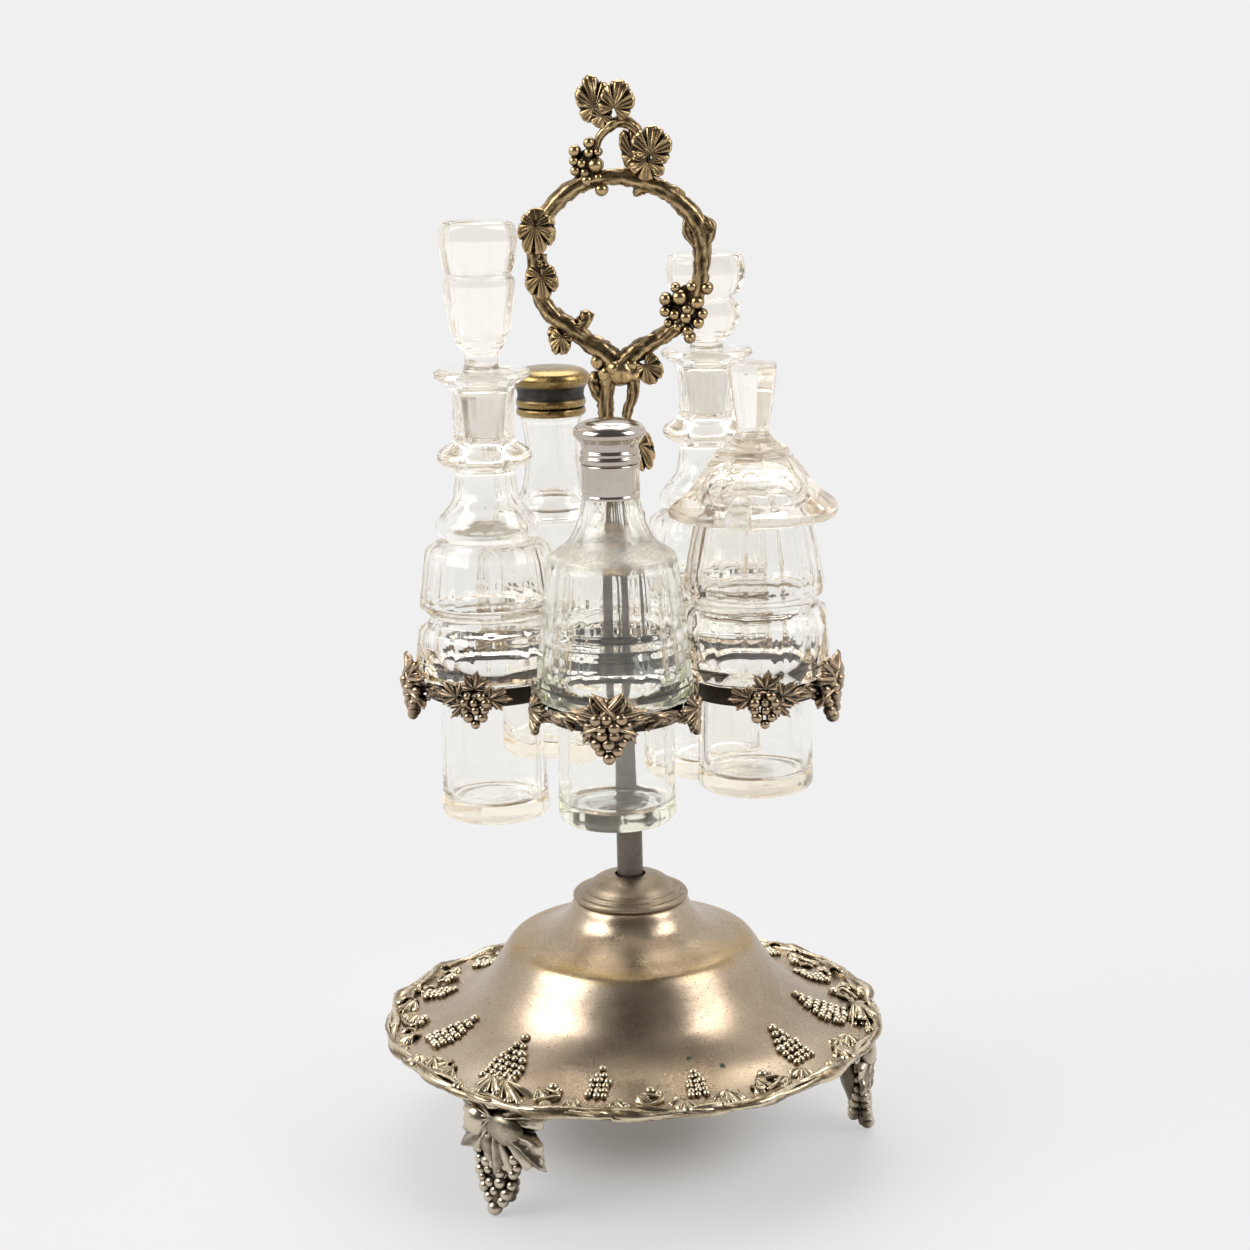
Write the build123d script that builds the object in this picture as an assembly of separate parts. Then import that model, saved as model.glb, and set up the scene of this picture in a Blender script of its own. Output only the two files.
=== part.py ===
"""Revolving cruet set: five glass containers in a ring frame on a domed, footed plate.

Millimetres, +Z up. The origin is on the column axis at table level, and -Y is the front.
"""
import math
import os

from build123d import *

os.makedirs("parts", exist_ok=True)

# ---- driving dimensions ----
PLATE_R = 95.5            # outer radius of the domed plate
PLATE_Z = 46.4            # top of the plate at its rim
PLATE_T = 1.4             # thickness of the plate
ROD_R = 5.0               # column bar
SPIGOT_R = 3.5            # turned-down lower end of the bar
RUNNING_GAP = 0.06        # radial play of the spigot in its bush
SEAT_Z = 190.0            # top of the ring bands, where the drums sit
SEAT_GAP = 0.1            # air under each drum
BAND_IN = 23.0            # ring band, inner radius
BAND_OUT = 24.5           # ring band, outer radius
BAND_LOW = 183.5          # ring band, lower edge
RING_PITCH = 52.0         # column axis to ring axis
DRUM_R = 28.8             # widest radius of a glass drum
PLUG_GAP = 0.25           # radial gap round each ground stopper
FOOT_R = 91.0             # radius of the feet's toes
FOOT_ANGLES = {"front_left": -30.0, "right": 90.0, "back_left": 210.0}
RING_ANGLES = {"front": 0.0, "right": 72.0, "back_right": 144.0,
               "back_left": 216.0, "left": 288.0}


def spot(angle, radius):
    """Place on the floor plan, with 0 degrees at the front and 90 to the right."""
    turn = math.radians(angle)
    return radius * math.sin(turn), -radius * math.cos(turn)


def turned(outline):
    """Solid of revolution about Z from a closed list of (radius, height) corners."""
    corners = [(r, 0, z) for r, z in outline]
    return revolve(make_face(Polyline(*corners, close=True)), Axis.Z, 360)


def turned_wall(outer, inner):
    """Solid of revolution between two smooth curves that share no end."""
    top = Spline(*[(r, 0, z) for r, z in outer])
    under = Spline(*[(r, 0, z) for r, z in inner])
    rim = Line(top @ 1, under @ 1)
    mouth = Line(under @ 0, top @ 0)
    return revolve(make_face(Curve() + [top, rim, under, mouth]), Axis.Z, 360)


def faceted(sections, sides, phase=0.0):
    """Drum with flat panels, lofted through (radius, height) polygons."""
    flats = [Pos(0, 0, z) * Rot(0, 0, phase) * RegularPolygon(r, sides) for r, z in sections]
    return loft([Sketch() + flat for flat in flats], ruled=True)


def save(shape, node):
    shape.label = node
    export_step(shape, f"parts/{node}.step")
    box = shape.bounding_box()
    low = [round(v, 1) for v in box.min]
    high = [round(v, 1) for v in box.max]
    print(node, low, high, "solids", len(shape.solids()), "mm3", round(shape.volume), shape.is_valid)


def at_ring(shape, name, radius=RING_PITCH):
    x, y = spot(RING_ANGLES[name], radius)
    return Pos(x, y, 0) * shape


# ---- base: domed plate, stepped cap, rim vine, relief, feet, pivot bush ----
PLATE_TOP = [(17.0, 97.6), (20.5, 96.6), (22.2, 95.4), (24.4, 91.4), (27.2, 87.9), (31.6, 85.2),
             (38.0, 82.8), (43.0, 81.2), (46.5, 79.4), (50.0, 76.3), (53.2, 71.8), (56.2, 66.6),
             (60.5, 61.0), (66.5, 55.8), (74.5, 51.2), (84.0, 48.2), (PLATE_R, PLATE_Z)]


def offset_inward(points, thickness):
    """The same curve moved by a wall thickness towards the hollow side."""
    moved = []
    for i, (r, z) in enumerate(points):
        r0, z0 = points[max(i - 1, 0)]
        r1, z1 = points[min(i + 1, len(points) - 1)]
        length = math.hypot(r1 - r0, z1 - z0)
        moved.append((r + (z1 - z0) / length * thickness, z - (r1 - r0) / length * thickness))
    return moved


def plate_height(r):
    """Height of the plate's top surface at a radius."""
    for (r0, z0), (r1, z1) in zip(PLATE_TOP, PLATE_TOP[1:]):
        if r0 <= r <= r1:
            return z0 + (z1 - z0) * (r - r0) / (r1 - r0)
    return PLATE_Z


base_shell = turned_wall(PLATE_TOP, offset_inward(PLATE_TOP, PLATE_T))

CAP_HOLE_R = 6.0
dome_cap = turned([(CAP_HOLE_R, 105.8), (9.0, 105.5), (12.5, 104.4), (15.2, 102.6), (16.6, 101.0),
                   (17.0, 100.0), (18.2, 100.2), (19.4, 99.8), (19.8, 98.9), (21.2, 99.0),
                   (22.2, 98.2), (22.4, 97.2), (21.8, 96.3), (21.0, 96.35), (20.5, 96.65), (17.0, 97.65),
                   (15.2, 98.9), (13.0, 101.6), (9.0, 103.4), (CAP_HOLE_R, 103.8)])

# The bush hangs from the crown of the plate and carries the bar's spigot.
pivot_bush = turned([(SPIGOT_R + RUNNING_GAP, 98.6), (13.0, 98.6), (15.4, 97.9), (17.0, 97.55),
                     (16.55, 96.3), (14.0, 96.2), (9.0, 92.0), (8.0, 80.0),
                     (SPIGOT_R + RUNNING_GAP, 80.0)])

RIM_R = 95.3
RIM_TUBE = 2.3
rim_section = []
for step in range(10):
    turn = math.radians(36.0 * step + 18.0)
    rim_section.append((RIM_R + RIM_TUBE * math.cos(turn), PLATE_Z + 0.4 + RIM_TUBE * math.sin(turn)))
rim_vine = turned(rim_section)

GRAPE = 1.9
CLUSTERS = ((29.0, 3, 70.0), (61.0, 3, 68.0), (-22.0, 4, 62.0), (92.0, 3, 74.0))
BUDS = ((12.0, 78.0), (45.0, 76.0), (78.0, 80.0))


def grape_triangle(angle, rows, tip_radius):
    """Bunch lying on the plate, widest near the rim, with its tip towards the column."""
    bunch = []
    for row in range(rows + 2):
        radius = tip_radius + row * 3.0
        count = min(row + 1, rows)
        for k in range(count):
            swing = math.degrees((k - (count - 1) / 2) * 3.5 / radius)
            x, y = spot(angle + swing, radius)
            ball = Rot(0, 0, angle + 30.0) * Sphere(GRAPE)
            bunch.append(Pos(x, y, plate_height(radius) + 0.6) * ball)
    return bunch[0] + bunch[1:]


def leaf_outline(width, length, lobes=5):
    """Lobed leaf drawn in XY, with its stalk at the origin and its tip along +Y."""
    points = []
    steps = lobes * 4
    for i in range(steps + 1):
        t = math.radians(-110 + 220 * i / steps)
        reach = 0.80 + 0.20 * math.cos(lobes * t * 1.64)
        points.append((width / 2 * math.sin(t) * reach, length * (0.36 + 0.64 * math.cos(t) * reach)))
    points.append((0, 0))
    return make_face(Polyline(*points, close=True))


relief = []
for foot_angle in FOOT_ANGLES.values():
    for angle, rows, tip_radius in CLUSTERS:
        relief.append(grape_triangle(foot_angle + angle, rows, tip_radius))
    for angle, radius in BUDS:
        x, y = spot(foot_angle + angle, radius)
        relief.append(Pos(x, y, plate_height(radius) + 0.5) * Sphere(2.8))
    leaf = extrude(leaf_outline(22.0, 15.0), 2.2)
    lean = math.degrees(math.atan2(plate_height(80.0) - PLATE_Z, PLATE_R - 80.0))
    leaf = Rot(0, 0, foot_angle + 180) * Pos(0, 78.5, plate_height(80.0) - 0.2) * Rot(-lean, 0, 0) * leaf
    relief.append(leaf)
border_relief = Compound(children=relief)


def cast_foot():
    """Leaf over a hanging bunch of grapes, drawn at the front with its face along -Y."""
    top = Pos(0, -86.0, 45.4) * Rectangle(25.0, 9.0)
    knee = Pos(0, -83.6, 34.0) * Rectangle(27.0, 8.0)
    shank = Pos(0, -85.0, 19.0) * Rectangle(15.0, 7.0)
    toe = Pos(0, -90.0, 3.0) * Rectangle(5.0, 5.0)
    core = loft([Sketch() + part for part in (top, knee, shank, toe)], ruled=True)
    leaf = extrude(leaf_outline(40.0, 36.0), 3.2)
    leaf = Pos(0, -86.2, 46.6) * Rot(-90, 0, 0) * Rot(0, 0, 0) * leaf
    bunch = []
    for z, half, count in ((21.0, 6.6, 3), (16.2, 6.0, 3), (11.4, 4.6, 3), (7.0, 2.8, 2), (3.0, 0.0, 1)):
        for k in range(count):
            x = (k - (count - 1) / 2) * (2 * half / max(count - 1, 1))
            bunch.append(Pos(x, -FOOT_R + 0.6 + z * 0.06, z) * Sphere(3.4))
    foot = core + leaf + bunch
    slab = Pos(0, -86, 60) * Box(80, 80, 2 * (60 - 44.9))
    floor = Pos(0, -86, -10) * Box(80, 80, 20)
    return foot - slab - floor


foot = cast_foot()
save(base_shell, "base_shell")
save(dome_cap, "dome_cap")
save(pivot_bush, "pivot_bush")
save(rim_vine, "rim_vine")
save(border_relief, "border_relief")
for name, angle in FOOT_ANGLES.items():
    save(Rot(0, 0, angle) * foot, f"foot_{name}")

# ---- column: bar, retaining nut, hub with arms, ring bands, garlands, capital, handle ----
CAPITAL_Z = 238.0
centre_rod = turned([(0, CAPITAL_Z), (ROD_R, CAPITAL_Z), (ROD_R, 98.7), (SPIGOT_R, 98.7),
                     (SPIGOT_R, 66.0), (0, 66.0)])
retaining_washer = turned([(SPIGOT_R, 79.6), (8.0, 79.6), (8.0, 78.2), (SPIGOT_R, 78.2)])
nut_blank = Pos(0, 0, 72.0) * extrude(RegularPolygon(7.2, 6), 6.2)
retaining_nut = nut_blank - Pos(0, 0, 70.0) * Cylinder(SPIGOT_R, 12, align=(Align.CENTER, Align.CENTER, Align.MIN))

hub_trumpet = turned([(ROD_R, 197.0), (6.6, 197.0), (7.6, 193.0), (9.0, 189.6), (13.0, 186.0),
                      (15.0, 183.4), (14.0, 181.0), (9.0, 180.0), (ROD_R, 180.0)])
hub_arms = []
ARM_END = RING_PITCH - BAND_OUT
for angle in RING_ANGLES.values():
    arm = Pos(0, -(10 + ARM_END + 0.6) / 2, 186.4) * Box(6.0, ARM_END + 0.6 - 10, 4.2)
    hub_arms.append(Rot(0, 0, angle) * arm)
frame_hub = hub_trumpet + hub_arms
for name in RING_ANGLES:
    keep_out = at_ring(Pos(0, 0, 170) * Cylinder(BAND_OUT, 30, align=(Align.CENTER, Align.CENTER, Align.MIN)), name)
    frame_hub = frame_hub - keep_out

ring_band = turned([(BAND_IN, BAND_LOW), (BAND_OUT, BAND_LOW), (BAND_OUT, SEAT_Z), (BAND_IN, SEAT_Z)])


STEM_RING_R = 26.5
GARLAND_ENDS = {"front": (-85, 85), "right": (-64, 81), "back_right": (-85, 85), "back_left": (-85, 85),
                "left": (-81, 67)}


def garland(first, last):
    """Vine with a leafy middle and end bunches at two angles, for a ring whose far side faces -Y."""
    face = DRUM_R + 0.7
    start, end = spot(first + 3, STEM_RING_R) + (186.6,), spot(last - 3, STEM_RING_R) + (186.6,)
    stem_path = ThreePointArc(start, spot((first + last) / 2, STEM_RING_R) + (186.6,), end)
    stem = sweep(Plane(stem_path @ 0, z_dir=stem_path % 0) * Circle(1.8), path=stem_path)
    pieces = [stem]
    middle_leaf = extrude(leaf_outline(27.0, 24.0), 2.6)
    pieces.append(Pos(0, -face - 2.6, 200.0) * Rot(-90, 0, 0) * middle_leaf)
    pieces.append(Pos(0, -(BAND_OUT + face) / 2 - 0.2, 186.4) * Box(13.0, face - BAND_OUT + 1.0, 5.6))
    for x, z in ((-4, 188), (0, 189.5), (4, 188), (-2.2, 184.4), (2.2, 184.4), (0, 180.6), (0, 176.6)):
        pieces.append(Pos(x, -face - 2.6, z) * Sphere(2.5))
    for side in (first, last):
        end_leaf = extrude(leaf_outline(14.0, 16.0), 2.2)
        end = Pos(0, -face - 2.2, 196.0) * Rot(-90, 0, 0) * end_leaf
        block = Pos(0, -(BAND_OUT + face) / 2 - 0.2, 186.4) * Box(8.0, face - BAND_OUT + 1.0, 5.2)
        cluster = [Pos(x, -face - 1.6, z) * Sphere(2.3) for x, z in ((-2.4, 183), (2.4, 183), (0, 179.4), (0, 176.4))]
        for piece in [end, block] + cluster:
            pieces.append(Rot(0, 0, side) * piece)
    whole = pieces[0] + pieces[1:]
    return whole - Cylinder(BAND_OUT, 600) - Pos(0, 0, SEAT_Z - 0.2) * Cylinder(
        face, 40, align=(Align.CENTER, Align.CENTER, Align.MIN))


save(centre_rod, "centre_rod")
save(retaining_washer, "retaining_washer")
save(retaining_nut, "retaining_nut")
save(frame_hub, "frame_hub")
for name, angle in RING_ANGLES.items():
    save(at_ring(ring_band, name), f"ring_{name}")
    vine = garland(*GARLAND_ENDS[name])
    save(at_ring(Rot(0, 0, angle) * vine, name), f"garland_{name}")

CAPITAL_TOP = 250.0
rod_capital = turned([(ROD_R, 232.0), (6.6, 232.0), (7.4, 236.0), (6.4, 241.0), (8.2, 245.0),
                      (8.6, 248.0), (7.0, CAPITAL_TOP), (0, CAPITAL_TOP), (0, CAPITAL_Z), (ROD_R, CAPITAL_Z)])
save(rod_capital, "rod_capital")


def knot(x, z, size, seam):
    """Ball on the handle's plane, with its seam turned away from the stems that meet it."""
    return Pos(x, 0, z) * Rot(90, 0, 0) * Rot(0, 0, seam) * Sphere(size)


def vine_run(points, thickness):
    """Angular stem of round section with mitred corners, in the plane of the handle."""
    path = Polyline(*points)
    section = Plane(path @ 0, x_dir=(0, 1, 0), z_dir=path % 0) * Circle(thickness)
    return sweep(section, path=path, transition=Transition.RIGHT)


def widest_gap(x, z, others):
    """Middle of the widest angle round a ball that no neighbouring ball takes."""
    if not others:
        return 0.0
    angles = sorted(math.degrees(math.atan2(oz - z, ox - x)) for ox, oz in others)
    best = (0.0, 0.0)
    for start, end in zip(angles, angles[1:] + [angles[0] + 360.0]):
        best = max(best, (end - start, (start + end) / 2))
    return best[1]


STEM_LEFT = [(-3.2, 0, 249.0), (-4.4, 0, 262), (-5.5, 0, 276), (-5.5, 0, 286), (-5.2, 0, 294), (-3.4, 0, 301)]
STEM_RIGHT = [(3.2, 0, 249.0), (1.8, 0, 262), (1.0, 0, 276), (2.4, 0, 286), (5.0, 0, 294), (3.6, 0, 301)]
LOOP_LEFT = [(0.4, 0, 303.5), (-5.3, 0, 308.5), (-11.8, 0, 313.1), (-18.3, 0, 318.4), (-25.3, 0, 323.7),
             (-29.5, 0, 332.0), (-30.6, 0, 343.0), (-29.0, 0, 353.5), (-24.3, 0, 361.8), (-14.4, 0, 369.7),
             (-6.0, 0, 372.2), (2.6, 0, 372.8)]
LOOP_RIGHT = [(0.4, 0, 303.5), (4.6, 0, 307.5), (10.6, 0, 311.4), (17.3, 0, 315.2), (23.4, 0, 320.3),
              (27.6, 0, 326.4), (30.3, 0, 335.0), (31.3, 0, 345.7), (30.4, 0, 353.5), (23.6, 0, 363.4),
              (14.0, 0, 369.6), (2.6, 0, 372.8)]
LOOP_TOP = [(-6.6, 0, 372.0), (-6.6, 0, 385), (-3.4, 0, 390.2), (2.0, 0, 392.8), (7.6, 0, 390.4),
            (11.0, 0, 381), (9.6, 0, 371.5)]
handle_vine = vine_run(LOOP_LEFT, 3.4) + vine_run(LOOP_RIGHT, 3.2)
for run, thickness in ((STEM_LEFT, 3.0), (STEM_RIGHT, 2.4), (LOOP_TOP, 1.6)):
    handle_vine = handle_vine + vine_run(run, thickness)
for x, z, size, seam in ((0.4, 302.6, 5.4, 90.0), (2.6, 372.6, 4.1, -90.0), (33.4, 353.8, 3.0, 10.0),
                         (26.8, 354.6, 2.9, 190.0), (-12.6, 318.6, 3.4, 60.0), (7.4, 367.6, 2.6, -100.0)):
    handle_vine = handle_vine + knot(x, z, size, seam)
below = Pos(0, 0, CAPITAL_TOP) * Box(60, 60, 40, align=(Align.CENTER, Align.CENTER, Align.MAX))
handle_vine = handle_vine - below


def leaf_solid(x, z, width, height, thick, tilt):
    """Leaf standing in the plane of the handle, centred at (x, z)."""
    plate = extrude(leaf_outline(width, height), thick / 2, both=True)
    plate = Pos(0, -height * 0.5, 0) * plate
    return Pos(x, 0, z) * Rot(90, 0, 0) * Rot(0, 0, tilt) * plate


def bunch_solid(spots, size):
    """Grapes in the plane of the handle, joined into one solid."""
    balls = []
    for x, z in spots:
        near = [(ox, oz) for ox, oz in spots if 0 < math.hypot(ox - x, oz - z) < 2 * size]
        balls.append(knot(x, z, size, widest_gap(x, z, near)))
    return balls[0] + balls[1:]


foliage = [
    leaf_solid(-2.5, 400.6, 18.0, 18.0, 5.0, 0),
    leaf_solid(11.5, 381.8, 16.0, 19.0, 5.0, 10),
    leaf_solid(-28.6, 353.4, 14.0, 17.5, 5.0, 0),
    leaf_solid(-28.6, 334.6, 12.0, 13.0, 5.0, 180),
    leaf_solid(-21.6, 313.4, 8.0, 11.0, 4.0, 200),
    leaf_solid(12.4, 303.4, 9.0, 12.5, 4.0, 200),
    leaf_solid(8.4, 272.0, 7.0, 17.0, 4.0, 180),
    bunch_solid([(-14.6, 382), (-9.4, 384.6), (-13.0, 376.6), (-7.6, 378.2), (-10.6, 371.4), (-5.4, 368.6)], 2.9),
    bunch_solid([(32.4, 332.0), (26.2, 333.0), (20.8, 331.8), (29.4, 326.6), (23.4, 327.4),
                 (17.8, 326.4), (29.6, 320.8), (23.6, 321.4), (18.2, 320.8), (26.4, 315.4)], 2.9),
]
handle_foliage = Compound(children=foliage)
save(handle_vine, "handle_vine")
save(handle_foliage, "handle_foliage")

# ---- glass ----
DRUM_SEAT = SEAT_Z + SEAT_GAP


def hollow_glass(core, drums, sides, cavity, phase=0.0):
    """Pressed glass: a turned core, panelled drums around it and an open hollow inside."""
    body = turned(core)
    for sections in drums:
        body = body + faceted(sections, sides, phase)
    return body - turned(cavity)


LIP_TOP = 305.0
PLUG_LOW = 279.6
PLUG_LOW_R = 6.2
PLUG_TOP_R = 9.9
oil_core = [(0, 136.0), (19.4, 136.0), (20.4, 138.7), (19.3, 176.5), (19.3, DRUM_SEAT), (22.0, DRUM_SEAT),
            (22.0, 239.0), (20.5, 241.2), (17.7, 242.4), (18.6, 244.4), (19.1, 247.0), (18.0, 249.8),
            (14.7, 253.5), (12.6, 256.6), (11.8, 260.0), (11.4, 267.0), (14.4, 269.2), (17.2, 271.4),
            (17.6, 273.0), (17.0, 274.8), (15.2, 276.7), (12.0, 278.4), (11.2, 280.5), (11.4, 295.6),
            (12.3, 298.8), (17.0, 301.6), (17.9, 303.0), (17.5, LIP_TOP), (0, LIP_TOP)]
oil_drums = [[(27.4, DRUM_SEAT), (DRUM_R, 192.4), (26.7, 208.6), (22.6, 212.4)],
             [(22.6, 213.6), (26.2, 217.4), (23.5, 238.4), (21.0, 240.6)]]
oil_cavity = [(0, 141.5), (15.6, 141.5), (16.8, 144.0), (16.0, 180.0), (16.2, 189.5), (22.0, 195.5),
              (21.6, 205.5), (18.4, 210.5), (18.4, 215.5), (21.0, 219.5), (19.4, 235.0), (14.6, 241.5),
              (15.2, 247.0), (11.6, 252.0), (8.4, 257.5), (7.4, 262.0), (7.2, 276.0),
              (PLUG_LOW_R + PLUG_GAP, PLUG_LOW), (PLUG_TOP_R + PLUG_GAP, 300.0),
              (11.0, LIP_TOP), (0, LIP_TOP)]
oil_bottle = hollow_glass(oil_core, oil_drums, 12, oil_cavity, 15.0)

plug = [(0, PLUG_LOW), (PLUG_LOW_R, PLUG_LOW), (PLUG_TOP_R, 300.0), (9.6, 302.0), (6.6, 305.4)]
tall_knob = turned(plug + [(6.3, 311.0), (8.9, 314.4), (9.0, 316.3), (0, 316.3)])
tall_knob = tall_knob + faceted([(9.4, 316.3), (11.0, 318.7), (13.4, 336.4), (11.9, 339.5)], 8, 22.5)
tall_knob = tall_knob + faceted([(11.9, 339.5), (12.8, 341.5), (14.5, 352.0), (12.9, 358.6)], 8, 22.5)
flat_knob = turned(plug + [(6.3, 308.0), (10.4, 310.6), (10.8, 312.8), (0, 312.8)])
flat_knob = flat_knob + faceted([(10.8, 312.8), (13.0, 316.0), (12.6, 322.0), (9.6, 324.4)], 8, 22.5)
flat_knob = flat_knob + faceted([(9.6, 324.4), (13.4, 326.4), (15.4, 333.0), (14.6, 339.6), (12.6, 342.0)], 8, 22.5)

SHAKER_LOW = 145.0
shaker_core = [(0, SHAKER_LOW), (20.4, SHAKER_LOW), (21.4, 148.0), (21.4, DRUM_SEAT), (22.2, DRUM_SEAT),
               (23.0, 214.0), (23.0, 240.0), (22.8, 242.6), (20.6, 244.0), (17.5, 246.0), (13.6, 251.0),
               (11.6, 256.6), (10.3, 263.0), (9.9, 263.4), (9.6, 278.0), (0, 278.0)]
shaker_drums = [[(27.6, DRUM_SEAT), (DRUM_R, 192.4), (27.1, 210.5), (26.2, 213.2)],
                [(26.2, 213.2), (26.75, 215.2), (26.1, 218.2), (24.0, 237.6), (22.9, 241.8)]]
shaker_cavity = [(0, 150.5), (17.0, 150.5), (18.2, 153.5), (18.0, 189.0), (23.4, 194.0), (22.6, 210.0),
                 (21.8, 220.0), (19.8, 239.0), (13.0, 245.0), (9.8, 252.0), (7.6, 260.0), (7.0, 278.0), (0, 278.0)]
shaker_glass = hollow_glass(shaker_core, shaker_drums, 16, shaker_cavity, 11.25)
front_collar = turned([(9.98, 263.7), (10.4, 263.7), (10.4, 275.8), (9.98, 275.8)])
CAP_BORE = 9.9
front_cap = turned([(CAP_BORE, 276.2), (10.6, 276.2), (10.9, 277.6), (10.6, 279.0), (10.1, 281.0), (10.7, 283.6),
                    (12.0, 285.0), (12.9, 286.4), (12.7, 288.2), (10.4, 290.4), (5.0, 291.6), (0, 291.8),
                    (0, 290.8), (5.0, 290.6), (9.8, 289.4), (11.4, 287.4), (10.6, 285.8), (CAP_BORE, 284.0)])

back_core = [(0, SHAKER_LOW), (20.4, SHAKER_LOW), (21.4, 148.0), (21.4, DRUM_SEAT), (22.2, DRUM_SEAT),
             (23.0, 214.0), (23.0, 240.0), (22.6, 242.6), (18.6, 245.0), (13.4, 247.6), (12.0, 250.0),
             (10.5, 259.0), (10.0, 266.0), (11.0, 274.0), (12.0, 278.6), (11.6, 279.4), (11.2, 291.0), (0, 291.0)]
back_cavity = [(0, 150.5), (17.0, 150.5), (18.2, 153.5), (18.0, 189.0), (23.4, 194.0), (22.6, 210.0),
               (21.8, 220.0), (19.8, 239.0), (12.0, 243.5), (8.6, 249.0), (7.4, 259.0), (7.0, 266.0),
               (7.8, 276.0), (8.6, 291.0), (0, 291.0)]
back_glass = hollow_glass(back_core, shaker_drums, 16, back_cavity, 11.25)
back_collar = turned([(11.68, 280.0), (13.0, 280.0), (13.7, 281.2), (13.4, 282.9), (11.64, 282.9)])
back_cap = turned([(11.7, 283.3), (13.0, 283.3), (13.7, 285.0), (13.2, 286.6), (13.0, 288.6), (14.2, 291.6),
                   (15.65, 293.4), (15.3, 295.6), (12.8, 297.6), (6.0, 298.7), (0, 298.8),
                   (0, 297.8), (6.0, 297.6), (12.2, 296.5), (14.2, 294.4), (13.2, 292.4), (11.7, 291.3)])


def sifter(cap, low, rings):
    """Small pouring holes through the crown of a cap."""
    for radius, count in rings:
        for k in range(count):
            x, y = spot(360 / count * k, radius)
            cap = cap - Pos(x, y, low) * Cylinder(0.6, 20)
    return cap


back_cap = sifter(back_cap, 300.0, ((0.0, 1), (3.4, 6)))
front_cap = sifter(front_cap, 293.0, ((0.0, 1), (3.0, 5)))

JAR_LOW = 147.0
JAR_TOP = 250.2
jar_core = [(0, JAR_LOW), (21.0, JAR_LOW), (21.8, 149.0), (21.4, 176.0), (21.4, DRUM_SEAT),
            (23.4, DRUM_SEAT), (23.4, 232.0), (21.2, 247.2), (20.9, JAR_TOP), (0, JAR_TOP)]
jar_drums = [[(27.6, DRUM_SEAT), (DRUM_R, 193.0), (DRUM_R - 0.2, 198.0), (27.4, 214.6), (23.8, 218.2)],
             [(23.8, 220.0), (26.4, 223.4), (26.4, 226.0), (22.0, 247.6)]]
jar_cavity = [(0, 153.0), (17.6, 153.0), (18.6, 155.5), (18.4, 189.0), (23.6, 194.0), (23.6, 210.0),
              (20.0, 215.5), (20.0, 222.0), (21.8, 226.0), (19.4, 240.0), (18.9, JAR_TOP), (0, JAR_TOP)]
mustard_jar = hollow_glass(jar_core, jar_drums, 14, jar_cavity, 12.0)

LID_LOW = JAR_TOP + 0.2
lid_bell = turned([(16.4, LID_LOW - 3.4), (18.3, LID_LOW - 3.4), (18.4, LID_LOW), (31.0, LID_LOW), (31.9, 252.2),
                   (31.4, 254.6), (29.2, 256.4), (25.2, 259.0), (19.7, 266.0), (16.4, 270.0), (14.3, 273.0),
                   (12.6, 275.4), (10.4, 277.0), (7.0, 279.6), (6.0, 282.5), (6.6, 284.9), (0, 284.9),
                   (0, 266.0), (6.0, 265.6), (11.0, 263.0), (14.6, 258.4), (16.2, 253.0)])
lid_knob = faceted([(6.7, 284.9), (9.6, 303.4), (8.7, 306.8)], 8, 22.5)
mustard_lid = lid_bell + lid_knob
NOTCH_WIDTH = 7.6
NOTCH_TOP = LID_LOW + 10.8
notch_centre = NOTCH_TOP - NOTCH_WIDTH / 2
notch = Pos(0, -25.4, LID_LOW - 4) * Box(NOTCH_WIDTH, 16.0, notch_centre - LID_LOW + 4,
                                         align=(Align.CENTER, Align.CENTER, Align.MIN))
notch_arch = Pos(0, -25.4, notch_centre) * Rot(90, 0, 0) * Cylinder(NOTCH_WIDTH / 2, 16.0)
mustard_lid = mustard_lid - Rot(0, 0, -10) * (notch + notch_arch)

save(at_ring(Rot(0, 0, 288) * oil_bottle, "left"), "oil_bottle_left")
save(at_ring(tall_knob, "left"), "stopper_left")
save(at_ring(Rot(0, 0, 144) * oil_bottle, "back_right"), "oil_bottle_back")
save(at_ring(flat_knob, "back_right"), "stopper_back")
save(at_ring(shaker_glass, "front"), "shaker_front")
save(at_ring(front_collar, "front"), "shaker_front_collar")
save(at_ring(front_cap, "front"), "shaker_front_cap")
save(at_ring(Rot(0, 0, 216) * back_glass, "back_left"), "shaker_back")
save(at_ring(back_collar, "back_left"), "shaker_back_collar")
save(at_ring(back_cap, "back_left"), "shaker_back_cap")
save(at_ring(mustard_jar, "right"), "mustard_jar")
save(at_ring(mustard_lid, "right"), "mustard_lid")
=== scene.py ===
"""Looks of the cruet set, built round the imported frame. Shapes are drawn in millimetres."""
import math
import random

import bpy
import bmesh
import numpy as np
from mathutils import Matrix, Vector, noise


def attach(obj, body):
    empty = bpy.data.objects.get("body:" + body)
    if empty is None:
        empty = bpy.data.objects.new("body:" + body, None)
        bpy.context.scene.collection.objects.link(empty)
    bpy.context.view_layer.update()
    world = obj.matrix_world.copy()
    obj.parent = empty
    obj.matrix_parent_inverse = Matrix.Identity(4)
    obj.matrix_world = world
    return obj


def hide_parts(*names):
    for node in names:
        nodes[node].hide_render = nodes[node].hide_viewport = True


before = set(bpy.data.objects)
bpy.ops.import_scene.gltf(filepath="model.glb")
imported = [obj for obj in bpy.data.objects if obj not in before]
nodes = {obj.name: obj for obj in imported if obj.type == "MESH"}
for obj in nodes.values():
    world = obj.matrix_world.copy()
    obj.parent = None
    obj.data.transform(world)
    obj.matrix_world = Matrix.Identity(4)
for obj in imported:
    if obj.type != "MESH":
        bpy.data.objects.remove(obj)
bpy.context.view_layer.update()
random.seed(7)

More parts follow.
